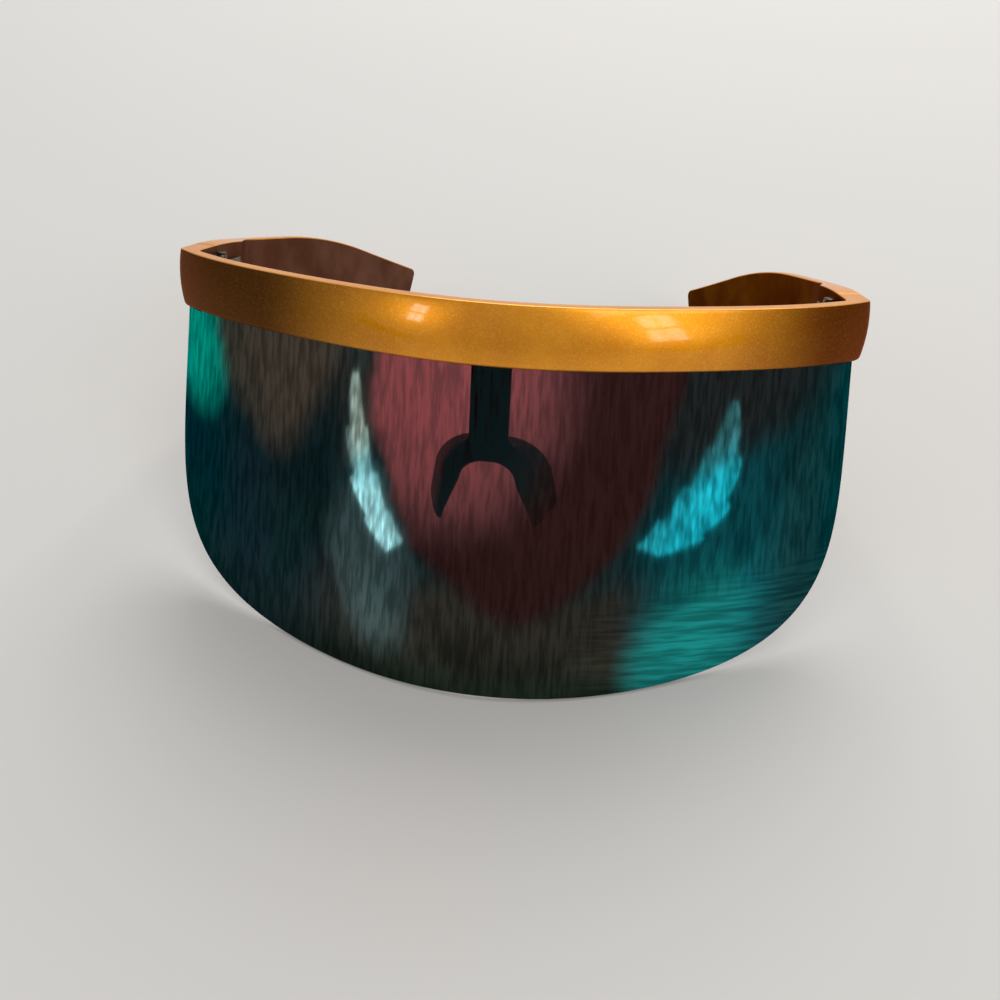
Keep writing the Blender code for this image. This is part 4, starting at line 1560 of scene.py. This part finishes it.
@dataclass(frozen=True)
class NosePiece:
    """The black rubber saddle on its flat stem, cast in one."""

    brow: BrowCurve = BrowCurve()
    bar: BrowBar = BrowBar()
    seat: float = 0.0003
    stem_width: float = 0.0090
    stem_thickness: float = 0.0022
    stem_top: float = 0.0018
    stem_round: float = 0.0006
    stem_flare: float = 0.0026
    stem_sink: float = 0.0014
    stem_steps: int = 12
    stem_round_steps: int = 4
    arch_top: float = 0.0318
    arch_half: float = 0.0082
    arch_height: float = 0.0071
    leg_length: float = 0.0106
    leg_splay: float = 0.0031
    leg_set_back: float = 0.0028
    crown_thickness: float = 0.0058
    leg_thickness: float = 0.0052
    tip_thickness: float = 0.0025
    crown_depth: float = 0.0050
    pad_depth: float = 0.0128
    pad_splay: float = math.radians(17)
    tip_round: float = 0.0020
    tip_share: float = 0.40
    section_power: float = 0.6
    arch_steps: int = 20
    leg_steps: int = 14
    tip_steps: int = 8
    section_points: int = 44
    voxel: float = 0.00028
    relax_share: float = 0.5
    relax_rounds: int = 8

    @property
    def front(self) -> float:
        """How far behind the origin the piece's front stands."""
        return self.brow.point(self.stem_width / 2)[0].y + self.bar.thickness + self.seat

    def squared(self, turn: float) -> float:
        """A sine or cosine pushed towards its ends, which squares an ellipse off."""
        return math.copysign(abs(turn) ** self.section_power, turn)

    def stations(self) -> list[tuple[Plan, Vector, float, float, float, float]]:
        """The middle line from the arch's top down its right leg.

        Returns:
            For each station its point, the way outwards, the thickness, how far it has come from crown to
            leg, the section's size, which is 1 but at the rounded tip, and how far it is set back.
        """
        found = []
        centre = -self.arch_top - self.crown_thickness / 2 - self.arch_height
        for k in range(self.arch_steps + 1):
            share = k / self.arch_steps
            angle = math.pi / 2 * (1 - share)
            aside, above = math.cos(angle), math.sin(angle)
            place = (self.arch_half * aside, centre + self.arch_height * above)
            outward = Vector((self.arch_height * aside, self.arch_half * above)).normalized()
            thickness = self.crown_thickness + (self.leg_thickness - self.crown_thickness) * share
            found.append((place, outward, thickness, share, 1.0, 0.0))
        outward = Vector((self.leg_length, self.leg_splay)).normalized()
        for k in range(1, self.leg_steps + 1):
            share = k / self.leg_steps
            place = (self.arch_half + self.leg_splay * share, centre - self.leg_length * share)
            thickness = self.leg_thickness + (self.tip_thickness - self.leg_thickness) * share
            found.append((place, outward, thickness, 1.0, 1.0, self.leg_set_back * share))
        for k in range(1, self.tip_steps):
            angle = math.pi / 2 * k / self.tip_steps
            low = centre - self.leg_length - self.tip_round * math.sin(angle)
            place = (self.arch_half + self.leg_splay, low)
            found.append((place, outward, self.tip_thickness, 1.0, math.cos(angle), self.leg_set_back))
        return found

    def rings(self) -> list[list[Vector]]:
        """The saddle's rings from the tip of its right leg over the arch to the left one.

        Returns:
            The rings, with as many points in each.
        """
        half = self.stations()
        found = []
        for side, stations in ((Side.RIGHT, list(reversed(half))), (Side.LEFT, half[1:])):
            for (across, up), outward, thickness, share, size, set_back in stations:
                depth = self.crown_depth + (self.pad_depth - self.crown_depth) * share
                length = depth * (1 - (1 - size) * self.tip_share)
                start = self.front + (depth - length) / 2 + set_back
                splay = math.tan(self.pad_splay * share)
                ring = []
                for k in range(self.section_points):
                    angle = 2 * math.pi * k / self.section_points
                    back = length / 2 * (1 + self.squared(math.sin(angle)))
                    out = thickness * size / 2 * self.squared(math.cos(angle)) + splay * back
                    point = Vector((across + outward.x * out, start + back, up + outward.y * out))
                    ring.append(side.mirror(point))
                found.append(ring)
        return found

    def stem_rings(self) -> list[list[Vector]]:
        """The flat stem's rings from its top down into the saddle, where its foot flares.

        Returns:
            The rings, with as many points in each.
        """
        foot = -self.arch_top - self.stem_sink
        straight = foot + self.stem_flare
        heights = [(-self.stem_top, 0.0), (straight, 0.0)]
        for k in range(1, self.stem_steps + 1):
            angle = math.pi / 2 * k / self.stem_steps
            up = straight - self.stem_flare * math.sin(angle)
            heights.append((up, self.stem_flare * (1 - math.cos(angle))))
        found = []
        for up, flare in heights:
            half, deep, edge = self.stem_width / 2 + flare, self.stem_thickness, self.stem_round
            ring = []
            for corner, (x, y) in enumerate(((half, deep), (-half, deep), (-half, 0.0), (half, 0.0))):
                centre = (x - math.copysign(edge, x), y - edge if y else edge)
                start = math.pi / 2 * corner
                ring += arc(centre, edge, start, start + math.pi / 2, self.stem_round_steps)
            found.append([Vector((x, self.front + y, up)) for x, y in ring])
        return found

    def build(self) -> bpy.types.Object:
        """The saddle and the stem cast into one smooth skin, level.

        Returns:
            The nose piece.
        """
        work = bmesh.new()
        loft(work, self.rings())
        nose = mesh_object("nose_piece_rubber", work)
        work = bmesh.new()
        loft(work, self.stem_rings())
        stem = mesh_object("stem", work)
        join = nose.modifiers.new("stem", "BOOLEAN")
        join.operation = "UNION"
        join.object = stem
        skin = nose.modifiers.new("skin", "REMESH")
        skin.mode = "VOXEL"
        skin.voxel_size = self.voxel
        relax = nose.modifiers.new("relax", "SMOOTH")
        relax.factor = self.relax_share
        relax.iterations = self.relax_rounds
        applied(nose, ALL_SMOOTH)
        discard(stem)
        return nose


# Hinges and screws


@dataclass(frozen=True)
class Hinge:
    """The five-knuckle hinge of one side: two leaves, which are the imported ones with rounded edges."""

    side: SideCurve = SideCurve()
    bar: BrowBar = BrowBar()
    barrel: float = 0.0013
    edge: float = 0.00007
    edge_steps: int = 2
    edge_angle: float = math.radians(40)
    weld: float = 0.000004
    flat_angle: float = math.radians(1)
    sharp: float = math.radians(30)

    def frame(self, side: Side) -> Matrix:
        """The hinge's own frame at the middle of its axis: inwards, back along the temple, and up.

        Args:
            side: the side.

        Returns:
            The frame, in the level glasses.
        """
        outer, back, inward = self.side.frame(self.side.end_piece + self.side.seam / 2)
        axis = outer + inward * (self.side.thickness + self.side.seam + self.barrel)
        axis.z = -self.bar.height / 2
        columns = [side.mirror(way) for way in (inward, back, Vector((0.0, 0.0, 1.0)), axis)]
        return Matrix([[*row] for row in zip(*columns)]).to_4x4()

    def leaf(self, node: str) -> bpy.types.Object:
        """A smooth copy of one packed leaf, with its edges broken.

        Args:
            node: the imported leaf's node.

        Returns:
            The leaf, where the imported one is.
        """
        work = bmesh.new()
        work.from_mesh(frame["nodes"][node].data)
        bmesh.ops.remove_doubles(work, verts=work.verts, dist=self.weld)
        bmesh.ops.dissolve_limit(work, angle_limit=self.flat_angle, verts=work.verts, edges=work.edges)
        leaf = mesh_object(f"{node}_steel", work)
        bevel = leaf.modifiers.new("edges", "BEVEL")
        bevel.width = self.edge
        bevel.segments = self.edge_steps
        bevel.limit_method = "ANGLE"
        bevel.angle_limit = self.edge_angle
        applied(leaf, self.sharp)
        return leaf


@dataclass(frozen=True)
class ScrewKind:
    """One kind of slotted screw: the radii of its head and shank, and how long the shank is."""

    head: float
    shank: float
    length: float


@dataclass(frozen=True)
class Screws:
    """All the screws: Geometry Nodes set a slotted head and a threaded shank on each place."""

    hinge: Hinge = Hinge()
    nose: NosePiece = NosePiece()
    leaf_thickness: float = 0.0008
    gap: float = 0.00015
    bite: float = 0.0022
    nose_bite: float = 0.0020
    hinge_radii: Plan = (0.0012, 0.0007)
    leaf_radii: Plan = (0.0011, 0.0006)
    nose_radii: Plan = (0.0013, 0.0007)
    head_height: float = 0.0006
    head_round_share: float = 0.22
    head_round_steps: int = 3
    head_sharp: float = math.radians(30)
    slot_width: float = 0.0003
    slot_depth: float = 0.0003
    slot_reach: float = 4.0
    slot_rise: float = 2.0
    front_leaf: float = 0.0046
    temple_leaf: float = 0.0098
    front_spacing: float = 0.0060
    temple_spacing: float = 0.0038
    nose_spacing: float = 0.0046
    nose_drop: float = 0.0039
    hinge_height: float = 0.0100
    segments: int = 40
    thread_turns: int = 9
    thread_steps: int = 24
    thread_root_share: float = 0.86
    thread_end_share: float = 0.7
    thread_sharp: float = math.radians(60)

    def kinds(self) -> dict[str, ScrewKind]:
        """The three kinds of screw.

        Returns:
            The kinds by name.
        """
        leaf_length = self.leaf_thickness + self.nose.seat + self.bite
        nose_length = self.nose.stem_thickness + self.nose.seat + self.nose_bite
        return {
            "hinge": ScrewKind(*self.hinge_radii, self.hinge_height),
            "leaf": ScrewKind(*self.leaf_radii, leaf_length),
            "nose": ScrewKind(*self.nose_radii, nose_length),
        }

    def front_places(self) -> list[tuple[str, Matrix, str]]:
        """Kind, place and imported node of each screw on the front.

        Returns:
            A row for each screw, placed on the level glasses.
        """
        found = []
        back = self.nose.front + self.nose.stem_thickness + self.gap
        turn = Matrix.Rotation(-math.pi / 2, 4, "X")
        for side in Side:
            place = Matrix.Translation((side.value * self.nose_spacing / 2, back, -self.nose_drop))
            found.append(("nose", place @ turn, f"{side.label}_nose_screw"))
            top = Matrix.Translation((0.0, 0.0, self.hinge_height / 2 + self.gap))
            found.append(("hinge", self.hinge.frame(side) @ top, f"{side.label}_hinge_screw"))
            middle = -(self.front_leaf + self.hinge.barrel) / 2
            for number, way in enumerate((1, -1), 1):
                place = self.leaf_place(side, middle, way * self.front_spacing / 2)
                found.append(("leaf", place, f"{side.label}_front_leaf_screw_{number}"))
        return found

    def temple_places(self, side: Side) -> list[tuple[str, Matrix, str]]:
        """Kind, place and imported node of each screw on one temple.

        Args:
            side: the temple's side.

        Returns:
            A row for each screw, placed on the level glasses.
        """
        middle = (self.temple_leaf + self.hinge.barrel) / 2
        found = []
        for number, way in enumerate((-1, 1), 1):
            place = self.leaf_place(side, middle + way * self.temple_spacing / 2, 0.0)
            found.append(("leaf", place, f"{side.label}_temple_leaf_screw_{number}"))
        return found

    def leaf_place(self, side: Side, along: float, up: float) -> Matrix:
        """Where a leaf's screw stands: on the leaf's inner face, pointing inwards."""
        seat = Matrix.Translation((self.leaf_thickness - self.hinge.barrel + self.gap, along, up))
        return self.hinge.frame(side) @ seat @ Matrix.Rotation(math.pi / 2, 4, "Y")

    def head_model(self) -> bpy.types.Object:
        """A slotted cheese head of unit radius and height, standing on the origin's plane.

        Returns:
            The head.
        """
        work = bmesh.new()
        bmesh.ops.create_cone(
            work, cap_ends=True, segments=self.segments, radius1=1.0, radius2=1.0, depth=1.0,
            matrix=Matrix.Translation((0.0, 0.0, 0.5)),
        )
        rims = [e for e in work.edges if all(v.co.z > 0.5 for v in e.verts)]
        steps = self.head_round_steps
        bmesh.ops.bevel(work, geom=rims, offset=self.head_round_share, segments=steps, affect="EDGES")
        bmesh.ops.recalc_face_normals(work, faces=work.faces)
        head = mesh_object("screw_head", work)
        work = bmesh.new()
        floor = 1.0 - self.slot_depth / self.head_height
        place = Matrix.Translation((0.0, 0.0, floor + self.slot_rise / 2))
        width = self.slot_width / self.leaf_radii[0]
        size = Matrix.Diagonal((self.slot_reach, width, self.slot_rise, 1.0))
        bmesh.ops.create_cube(work, size=1.0, matrix=place @ size)
        slot = mesh_object("screw_slot", work)
        cut = head.modifiers.new("slot", "BOOLEAN")
        cut.object = slot
        applied(head, self.head_sharp)
        discard(slot)
        return head

    def shank_model(self) -> bpy.types.Object:
        """A threaded shank of unit radius and length, hanging from the origin's plane.

        Returns:
            The shank.
        """
        root, halves = self.thread_root_share, 2 * self.thread_turns
        rings = [self.circle(root, 0.0)]
        for k in range(halves + 1):
            rings.append(self.circle(1.0 if k % 2 else root, -(k + 1) / (halves + 2)))
        rings.append(self.circle(self.thread_end_share * root, -1.0))
        work = bmesh.new()
        loft(work, rings)
        return mesh_object("screw_shank", work, self.thread_sharp)

    def circle(self, radius: float, up: float) -> list[Vector]:
        """A level ring of points round the shank."""
        angles = [2 * math.pi * k / self.thread_steps for k in range(self.thread_steps)]
        return [Vector((radius * math.cos(a), radius * math.sin(a), up)) for a in angles]

    def tree(self) -> bpy.types.NodeTree:
        """Geometry Nodes that set a head and a shank on each point, as its attributes say.

        Returns:
            The node group.
        """
        tree = bpy.data.node_groups.new("screws_on_places", "GeometryNodeTree")
        tree.interface.new_socket("Geometry", in_out="OUTPUT", socket_type="NodeSocketGeometry")
        tree.interface.new_socket("Geometry", in_out="INPUT", socket_type="NodeSocketGeometry")
        for name in ("Head", "Shank"):
            tree.interface.new_socket(name, in_out="INPUT", socket_type="NodeSocketObject")
        tree.interface.new_socket("Steel", in_out="INPUT", socket_type="NodeSocketMaterial")
        nodes = Nodes(tree)
        given = nodes.add("NodeGroupInput").outputs
        joined = nodes.add("GeometryNodeJoinGeometry")
        turn = self.attribute(nodes, "turn")
        rotation = nodes.add("FunctionNodeEulerToRotation", None, {0: turn}).outputs[0]
        for part in ("Head", "Shank"):
            model = nodes.add("GeometryNodeObjectInfo", None, {"Object": given[part]})
            values = {
                "Points": given["Geometry"],
                "Instance": next(out for out in model.outputs if out.name == "Geometry"),
                "Rotation": rotation,
                "Scale": self.attribute(nodes, f"{part.lower()}_size"),
            }
            placed = nodes.add("GeometryNodeInstanceOnPoints", None, values)
            nodes.feed(joined, {0: placed.outputs[0]})
        real = nodes.add("GeometryNodeRealizeInstances", None, {"Geometry": joined.outputs[0]})
        values = {"Geometry": real.outputs[0], "Material": given["Steel"]}
        dressed = nodes.add("GeometryNodeSetMaterial", None, values)
        nodes.add("NodeGroupOutput", None, {"Geometry": dressed.outputs[0]})
        return tree

    @staticmethod
    def attribute(nodes: Nodes, name: str) -> bpy.types.NodeSocket:
        """A vector that the points carry."""
        node = nodes.add("GeometryNodeInputNamedAttribute", {"data_type": "FLOAT_VECTOR"}, {"Name": name})
        return next(out for out in node.outputs if out.enabled)

    def build(
        self, name: str, places: list[tuple[str, Matrix, str]], tools: dict[str, Any]
    ) -> bpy.types.Object:
        """The screws of one body as one mesh, level.

        Args:
            name: the piece's name.
            places: kind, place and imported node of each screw.
            tools: the node group's tree and what its inputs get.

        Returns:
            The finished piece.
        """
        kinds = self.kinds()
        mesh = bpy.data.meshes.new(name)
        mesh.from_pydata([place.translation for _, place, _ in places], [], [])
        values = {"turn": [], "head_size": [], "shank_size": []}
        for kind, place, _ in places:
            sizes = kinds[kind]
            if place.determinant() < 0:
                place = place @ Matrix.Diagonal((-1.0, 1.0, 1.0, 1.0))
            values["turn"] += [*place.to_euler()]
            values["head_size"] += [sizes.head, sizes.head, self.head_height]
            values["shank_size"] += [sizes.shank, sizes.shank, sizes.length]
        for key, numbers in values.items():
            mesh.attributes.new(key, "FLOAT_VECTOR", "POINT").data.foreach_set("vector", numbers)
        screws = new_object(name, mesh)
        step = screws.modifiers.new("screws", "NODES")
        set_inputs(step, tools["tree"], tools)
        return applied(screws)


# Studio


@dataclass(frozen=True)
class SoftBox:
    """One soft light aimed at the glasses from a way in degrees, whole or in panes as a window is."""

    name: str
    azimuth: float
    elevation: float
    distance: float
    size: Plan
    power: float
    colour: Colour = (1.0, 1.0, 1.0)
    panes: tuple[int, int] = (1, 1)
    pane_share: float = 1.0
    only_on: tuple[str, ...] = ()


@dataclass(frozen=True)
class Strip:
    """A bent strip of light that only the lens mirrors.

    Each edge runs from a start past a bend to an end, given as azimuth and elevation in degrees.
    """

    name: str
    upper: tuple[Plan, Plan, Plan]
    lower: tuple[Plan, Plan, Plan]
    colour: Colour
    strength: float
    distance: float = 0.55
    notches: int = 4
    notch_depth: float = 1.5
    steps: int = 60
    folds: Pattern = Pattern(0.012, 3.0, 0.6)
    fold_range: Plan = (0.30, 0.72)
    least: float = 0.35

    def edges(self) -> list[tuple[Vector, Vector]]:
        """Pairs of azimuth and elevation along the notched edges, in degrees.

        Returns:
            The pairs, from start to end.
        """
        found = []
        for k in range(self.steps + 1):
            share = k / self.steps
            high, low = (quadratic(*map(Vector, edge), share) for edge in (self.upper, self.lower))
            swing = self.notch_depth * (0.5 - self.notches * share % 1.0) * math.sin(math.pi * share)
            outwards = (high - low).normalized() * swing
            found.append((high + outwards, low - outwards))
        return found


@dataclass(frozen=True)
class Studio:
    """Pale floor, soft lights, the strips that the lens mirrors, and the camera."""

    aim: tuple[float, float, float] = (0.0, -0.030, 0.035)
    floor_half: float = 3.0
    floor_parts: int = 8
    horizon: Colour = (0.35, 0.353, 0.357)
    zenith: Colour = (0.50, 0.50, 0.495)
    sky_fade: Plan = (0.0, 0.7)
    daylight: Colour = (1.0, 0.98, 0.94)
    painted: tuple[str, ...] = ("brow_bar_painted", "left_temple_painted", "right_temple_painted")
    boxes: tuple[SoftBox, ...] = (
        SoftBox(
            name="key_box",
            azimuth=174.0,
            elevation=44.0,
            distance=1.4,
            size=(1.1, 0.7),
            power=12.0,
            colour=(1.0, 0.98, 0.95),
        ),
        SoftBox(
            name="front_box",
            azimuth=44.0,
            elevation=38.0,
            distance=1.1,
            size=(0.60, 0.45),
            power=2.0,
            colour=(1.0, 0.97, 0.92),
        ),
        SoftBox(
            name="left_window",
            azimuth=-33.6,
            elevation=18.6,
            distance=1.0,
            size=(0.085, 0.22),
            power=0.44,
            colour=daylight,
            panes=(2, 2),
            pane_share=0.84,
            only_on=painted,
        ),
        SoftBox(
            name="right_window",
            azimuth=41.2,
            elevation=16.0,
            distance=1.0,
            size=(0.125, 0.34),
            power=0.68,
            colour=daylight,
            panes=(2, 2),
            pane_share=0.86,
            only_on=painted,
        ),
    )
    strips: tuple[Strip, ...] = (
        Strip(
            name="left_strip",
            upper=((-49, 11), (-41.5, 4), (-30.5, 3)),
            lower=((-50.5, 10.5), (-49, 1.5), (-35, 1)),
            colour=(0.85, 1.0, 1.0),
            strength=6.4,
        ),
        Strip(
            name="right_strip",
            upper=((55, 10), (45.5, 5), (35.5, 3.5)),
            lower=((56.5, 9.5), (57, 0), (39.5, 2)),
            colour=(0.27, 0.95, 1.0),
            strength=3.8,
        ),
    )
    camera_place: tuple[float, float, float] = (0.02885, -0.2049, 0.04702)
    camera_azimuth: float = 6.94
    camera_elevation: float = 23.90
    camera_roll: float = 3.02
    camera_near: float = 0.005
    focal: float = 36.0
    sensor: float = 36.0

    @staticmethod
    def direction(azimuth: float, elevation: float) -> Vector:
        """A way outwards: azimuth from the front towards +X, elevation above level, in degrees."""
        turn, rise = math.radians(azimuth), math.radians(elevation)
        return Vector((math.sin(turn) * math.cos(rise), -math.cos(turn) * math.cos(rise), math.sin(rise)))

    def build_floor(self) -> None:
        """The floor, which isn't part of the object."""
        work = bmesh.new()
        parts = self.floor_parts
        bmesh.ops.create_grid(work, x_segments=parts, y_segments=parts, size=self.floor_half)
        floor = mesh_object("floor", work)
        floor.data.materials.append(FloorPaint().make())

    def build_world(self) -> None:
        """Even soft light from all round, a little brighter overhead."""
        world = bpy.data.worlds.new("studio")
        bpy.context.scene.world = world
        world.use_nodes = True
        nodes = Nodes(world.node_tree)
        _, _, up = nodes.split(nodes.add("ShaderNodeTexCoord").outputs["Generated"])
        colour = nodes.blend(nodes.smooth(up, *self.sky_fade), self.horizon, self.zenith)
        nodes.feed(world.node_tree.nodes["Background"], {"Color": colour})

    def build_lights(self) -> None:
        """The soft boxes; the camera never sees them."""
        for box in self.boxes:
            way = self.direction(box.azimuth, box.elevation)
            turn = way.to_track_quat("Z", "Y")
            columns, rows = box.panes
            width, height = box.size[0] / columns, box.size[1] / rows
            for column in range(columns):
                for row in range(rows):
                    aside = (column + 0.5 - columns / 2) * width
                    above = (row + 0.5 - rows / 2) * height
                    light = bpy.data.lights.new(box.name, "AREA")
                    light.shape = "RECTANGLE"
                    light.size, light.size_y = width * box.pane_share, height * box.pane_share
                    light.energy = box.power / (columns * rows)
                    light.color = box.colour
                    lamp = bpy.data.objects.new(box.name, light)
                    bpy.context.scene.collection.objects.link(lamp)
                    place = Vector((aside, above, 0.0))
                    lamp.location = Vector(self.aim) + way * box.distance + turn @ place
                    lamp.rotation_euler = turn.to_euler()
                    lamp.visible_camera = False
                    light_only(lamp, box.only_on)

    def build_strip(self, shape: Strip) -> None:
        """One strip, which nothing but the lens shows.

        Args:
            shape: the strip's shape and light.
        """
        work = bmesh.new()
        aim = Vector(self.aim)
        loops = []
        for pair in shape.edges():
            loops.append([work.verts.new(self.direction(*edge) * shape.distance + aim) for edge in pair])
        for first, second in zip(loops, loops[1:]):
            work.faces.new((first[0], second[0], second[1], first[1]))
        strip = mesh_object(shape.name, work)
        made, nodes, _, output = new_material(shape.name)
        folds = nodes.smooth(nodes.noise(shape.folds, nodes.place()), *shape.fold_range)
        values = {"Color": opaque(shape.colour), "Strength": (folds + shape.least) * shape.strength}
        glow = nodes.add("ShaderNodeEmission", None, values)
        nodes.feed(output, {"Surface": glow.outputs[0]})
        strip.data.materials.append(made)
        strip.visible_camera = False
        strip.visible_diffuse = False
        strip.visible_shadow = False
        light_only(strip, ("lens_mirrored",))

    def build_camera(self, placement: Placement) -> None:
        """The camera where the photograph was taken from, set against the level glasses.

        Args:
            placement: where the glasses stand.
        """
        data = bpy.data.cameras.new("camera")
        data.lens = self.focal
        data.sensor_width = self.sensor
        data.clip_start = self.camera_near
        camera = bpy.data.objects.new("camera", data)
        bpy.context.scene.collection.objects.link(camera)
        back = self.direction(self.camera_azimuth, self.camera_elevation)
        turn = back.to_track_quat("Z", "Y").to_matrix().to_4x4()
        roll = Matrix.Rotation(math.radians(self.camera_roll), 4, "Z")
        camera.matrix_world = placement.matrix @ Matrix.Translation(self.camera_place) @ turn @ roll
        bpy.context.scene.camera = camera

    def build(self, placement: Placement) -> None:
        """Everything around the glasses.

        Args:
            placement: where the glasses stand.
        """
        self.build_floor()
        self.build_world()
        self.build_lights()
        for strip in self.strips:
            self.build_strip(strip)
        self.build_camera(placement)
        bpy.context.scene.view_settings.view_transform = "Standard"


# The whole


@dataclass
class VisorSunglasses:
    """Builds every piece of the glasses in order."""

    bar: BrowBar = field(default_factory=BrowBar)
    lens: Lens = field(default_factory=Lens)
    temple: Temple = field(default_factory=Temple)
    nose: NosePiece = field(default_factory=NosePiece)
    hinge: Hinge = field(default_factory=Hinge)
    screws: Screws = field(default_factory=Screws)

    def build(self) -> Placement:
        """Builds, dresses and places the pieces.

        Returns:
            Where the glasses stand.
        """
        placement = Placement.from_frame(self.hinge.frame(Side.RIGHT).translation)
        paint, inner, steel = PearlPaint().make(), InnerPaint().make(), HingeSteel().make()
        self.build_front(placement, paint, inner)
        for side in Side:
            temple = self.temple.build(side)
            temple.data.materials.append(paint)
            temple.data.materials.append(inner)
            placement.put(temple)
            stand_for(temple, side.arm, "paint", f"{side.label}_temple")
            for part, body in (("front", "front"), ("temple", side.arm)):
                node = f"{side.label}_{part}_hinge_leaf"
                leaf = self.hinge.leaf(node)
                leaf.data.materials.clear()
                leaf.data.materials.append(steel)
                stand_for(leaf, body, "steel", node)
        self.build_screws(placement, steel)
        return placement

    def build_front(
        self, placement: Placement, paint: bpy.types.Material, inner: bpy.types.Material
    ) -> None:
        """The lens, the bar round it and the nose piece.

        Args:
            placement: where the glasses stand.
            paint: the outer paint, with painted shade at its corners and a painted highlight on top.
            inner: the inner faces' painted shade.
        """
        finishes = {
            LensLayer.FRONT: MirrorLens().make(),
            LensLayer.BACK: LensTint().make(),
            LensLayer.RIM: LensEdge().make(),
        }
        tree = self.lens.bend_tree(finishes)
        lens = self.lens.blank()
        self.lens.bend(lens, tree)
        groove = self.lens.groove_blank()
        self.lens.bend(groove, tree)
        bar = self.bar.build(groove)
        bar.data.materials.append(paint)
        bar.data.materials.append(inner)
        discard(groove)
        nose = self.nose.build()
        nose.data.materials.append(NoseRubber().make())
        pieces = ((lens, "lens", "lens"), (bar, "paint", "brow_bar"), (nose, "nose", "nose_bridge"))
        for obj, slot, node in pieces:
            placement.put(obj)
            stand_for(obj, "front", slot, node)

    def build_screws(self, placement: Placement, steel: bpy.types.Material) -> None:
        """The screws of each body.

        Args:
            placement: where the glasses stand.
            steel: the hinges' steel.
        """
        head, shank = self.screws.head_model(), self.screws.shank_model()
        tools = {"tree": self.screws.tree(), "Head": head, "Shank": shank, "Steel": steel}
        groups = [("front_screws", "front", self.screws.front_places())]
        for side in Side:
            groups.append((f"{side.label}_temple_screws", side.arm, self.screws.temple_places(side)))
        for name, body, places in groups:
            piece = self.screws.build(name, places, tools)
            placement.put(piece)
            stand_for(piece, body, "steel", *(node for _, _, node in places))
        discard(head, shank)


def main() -> None:
    """Builds the glasses and the studio."""
    logging.basicConfig(level=logging.INFO, format="%(name)s: %(message)s")
    placement = VisorSunglasses().build()
    Studio().build(placement)


if __name__ == "__main__":
    main()
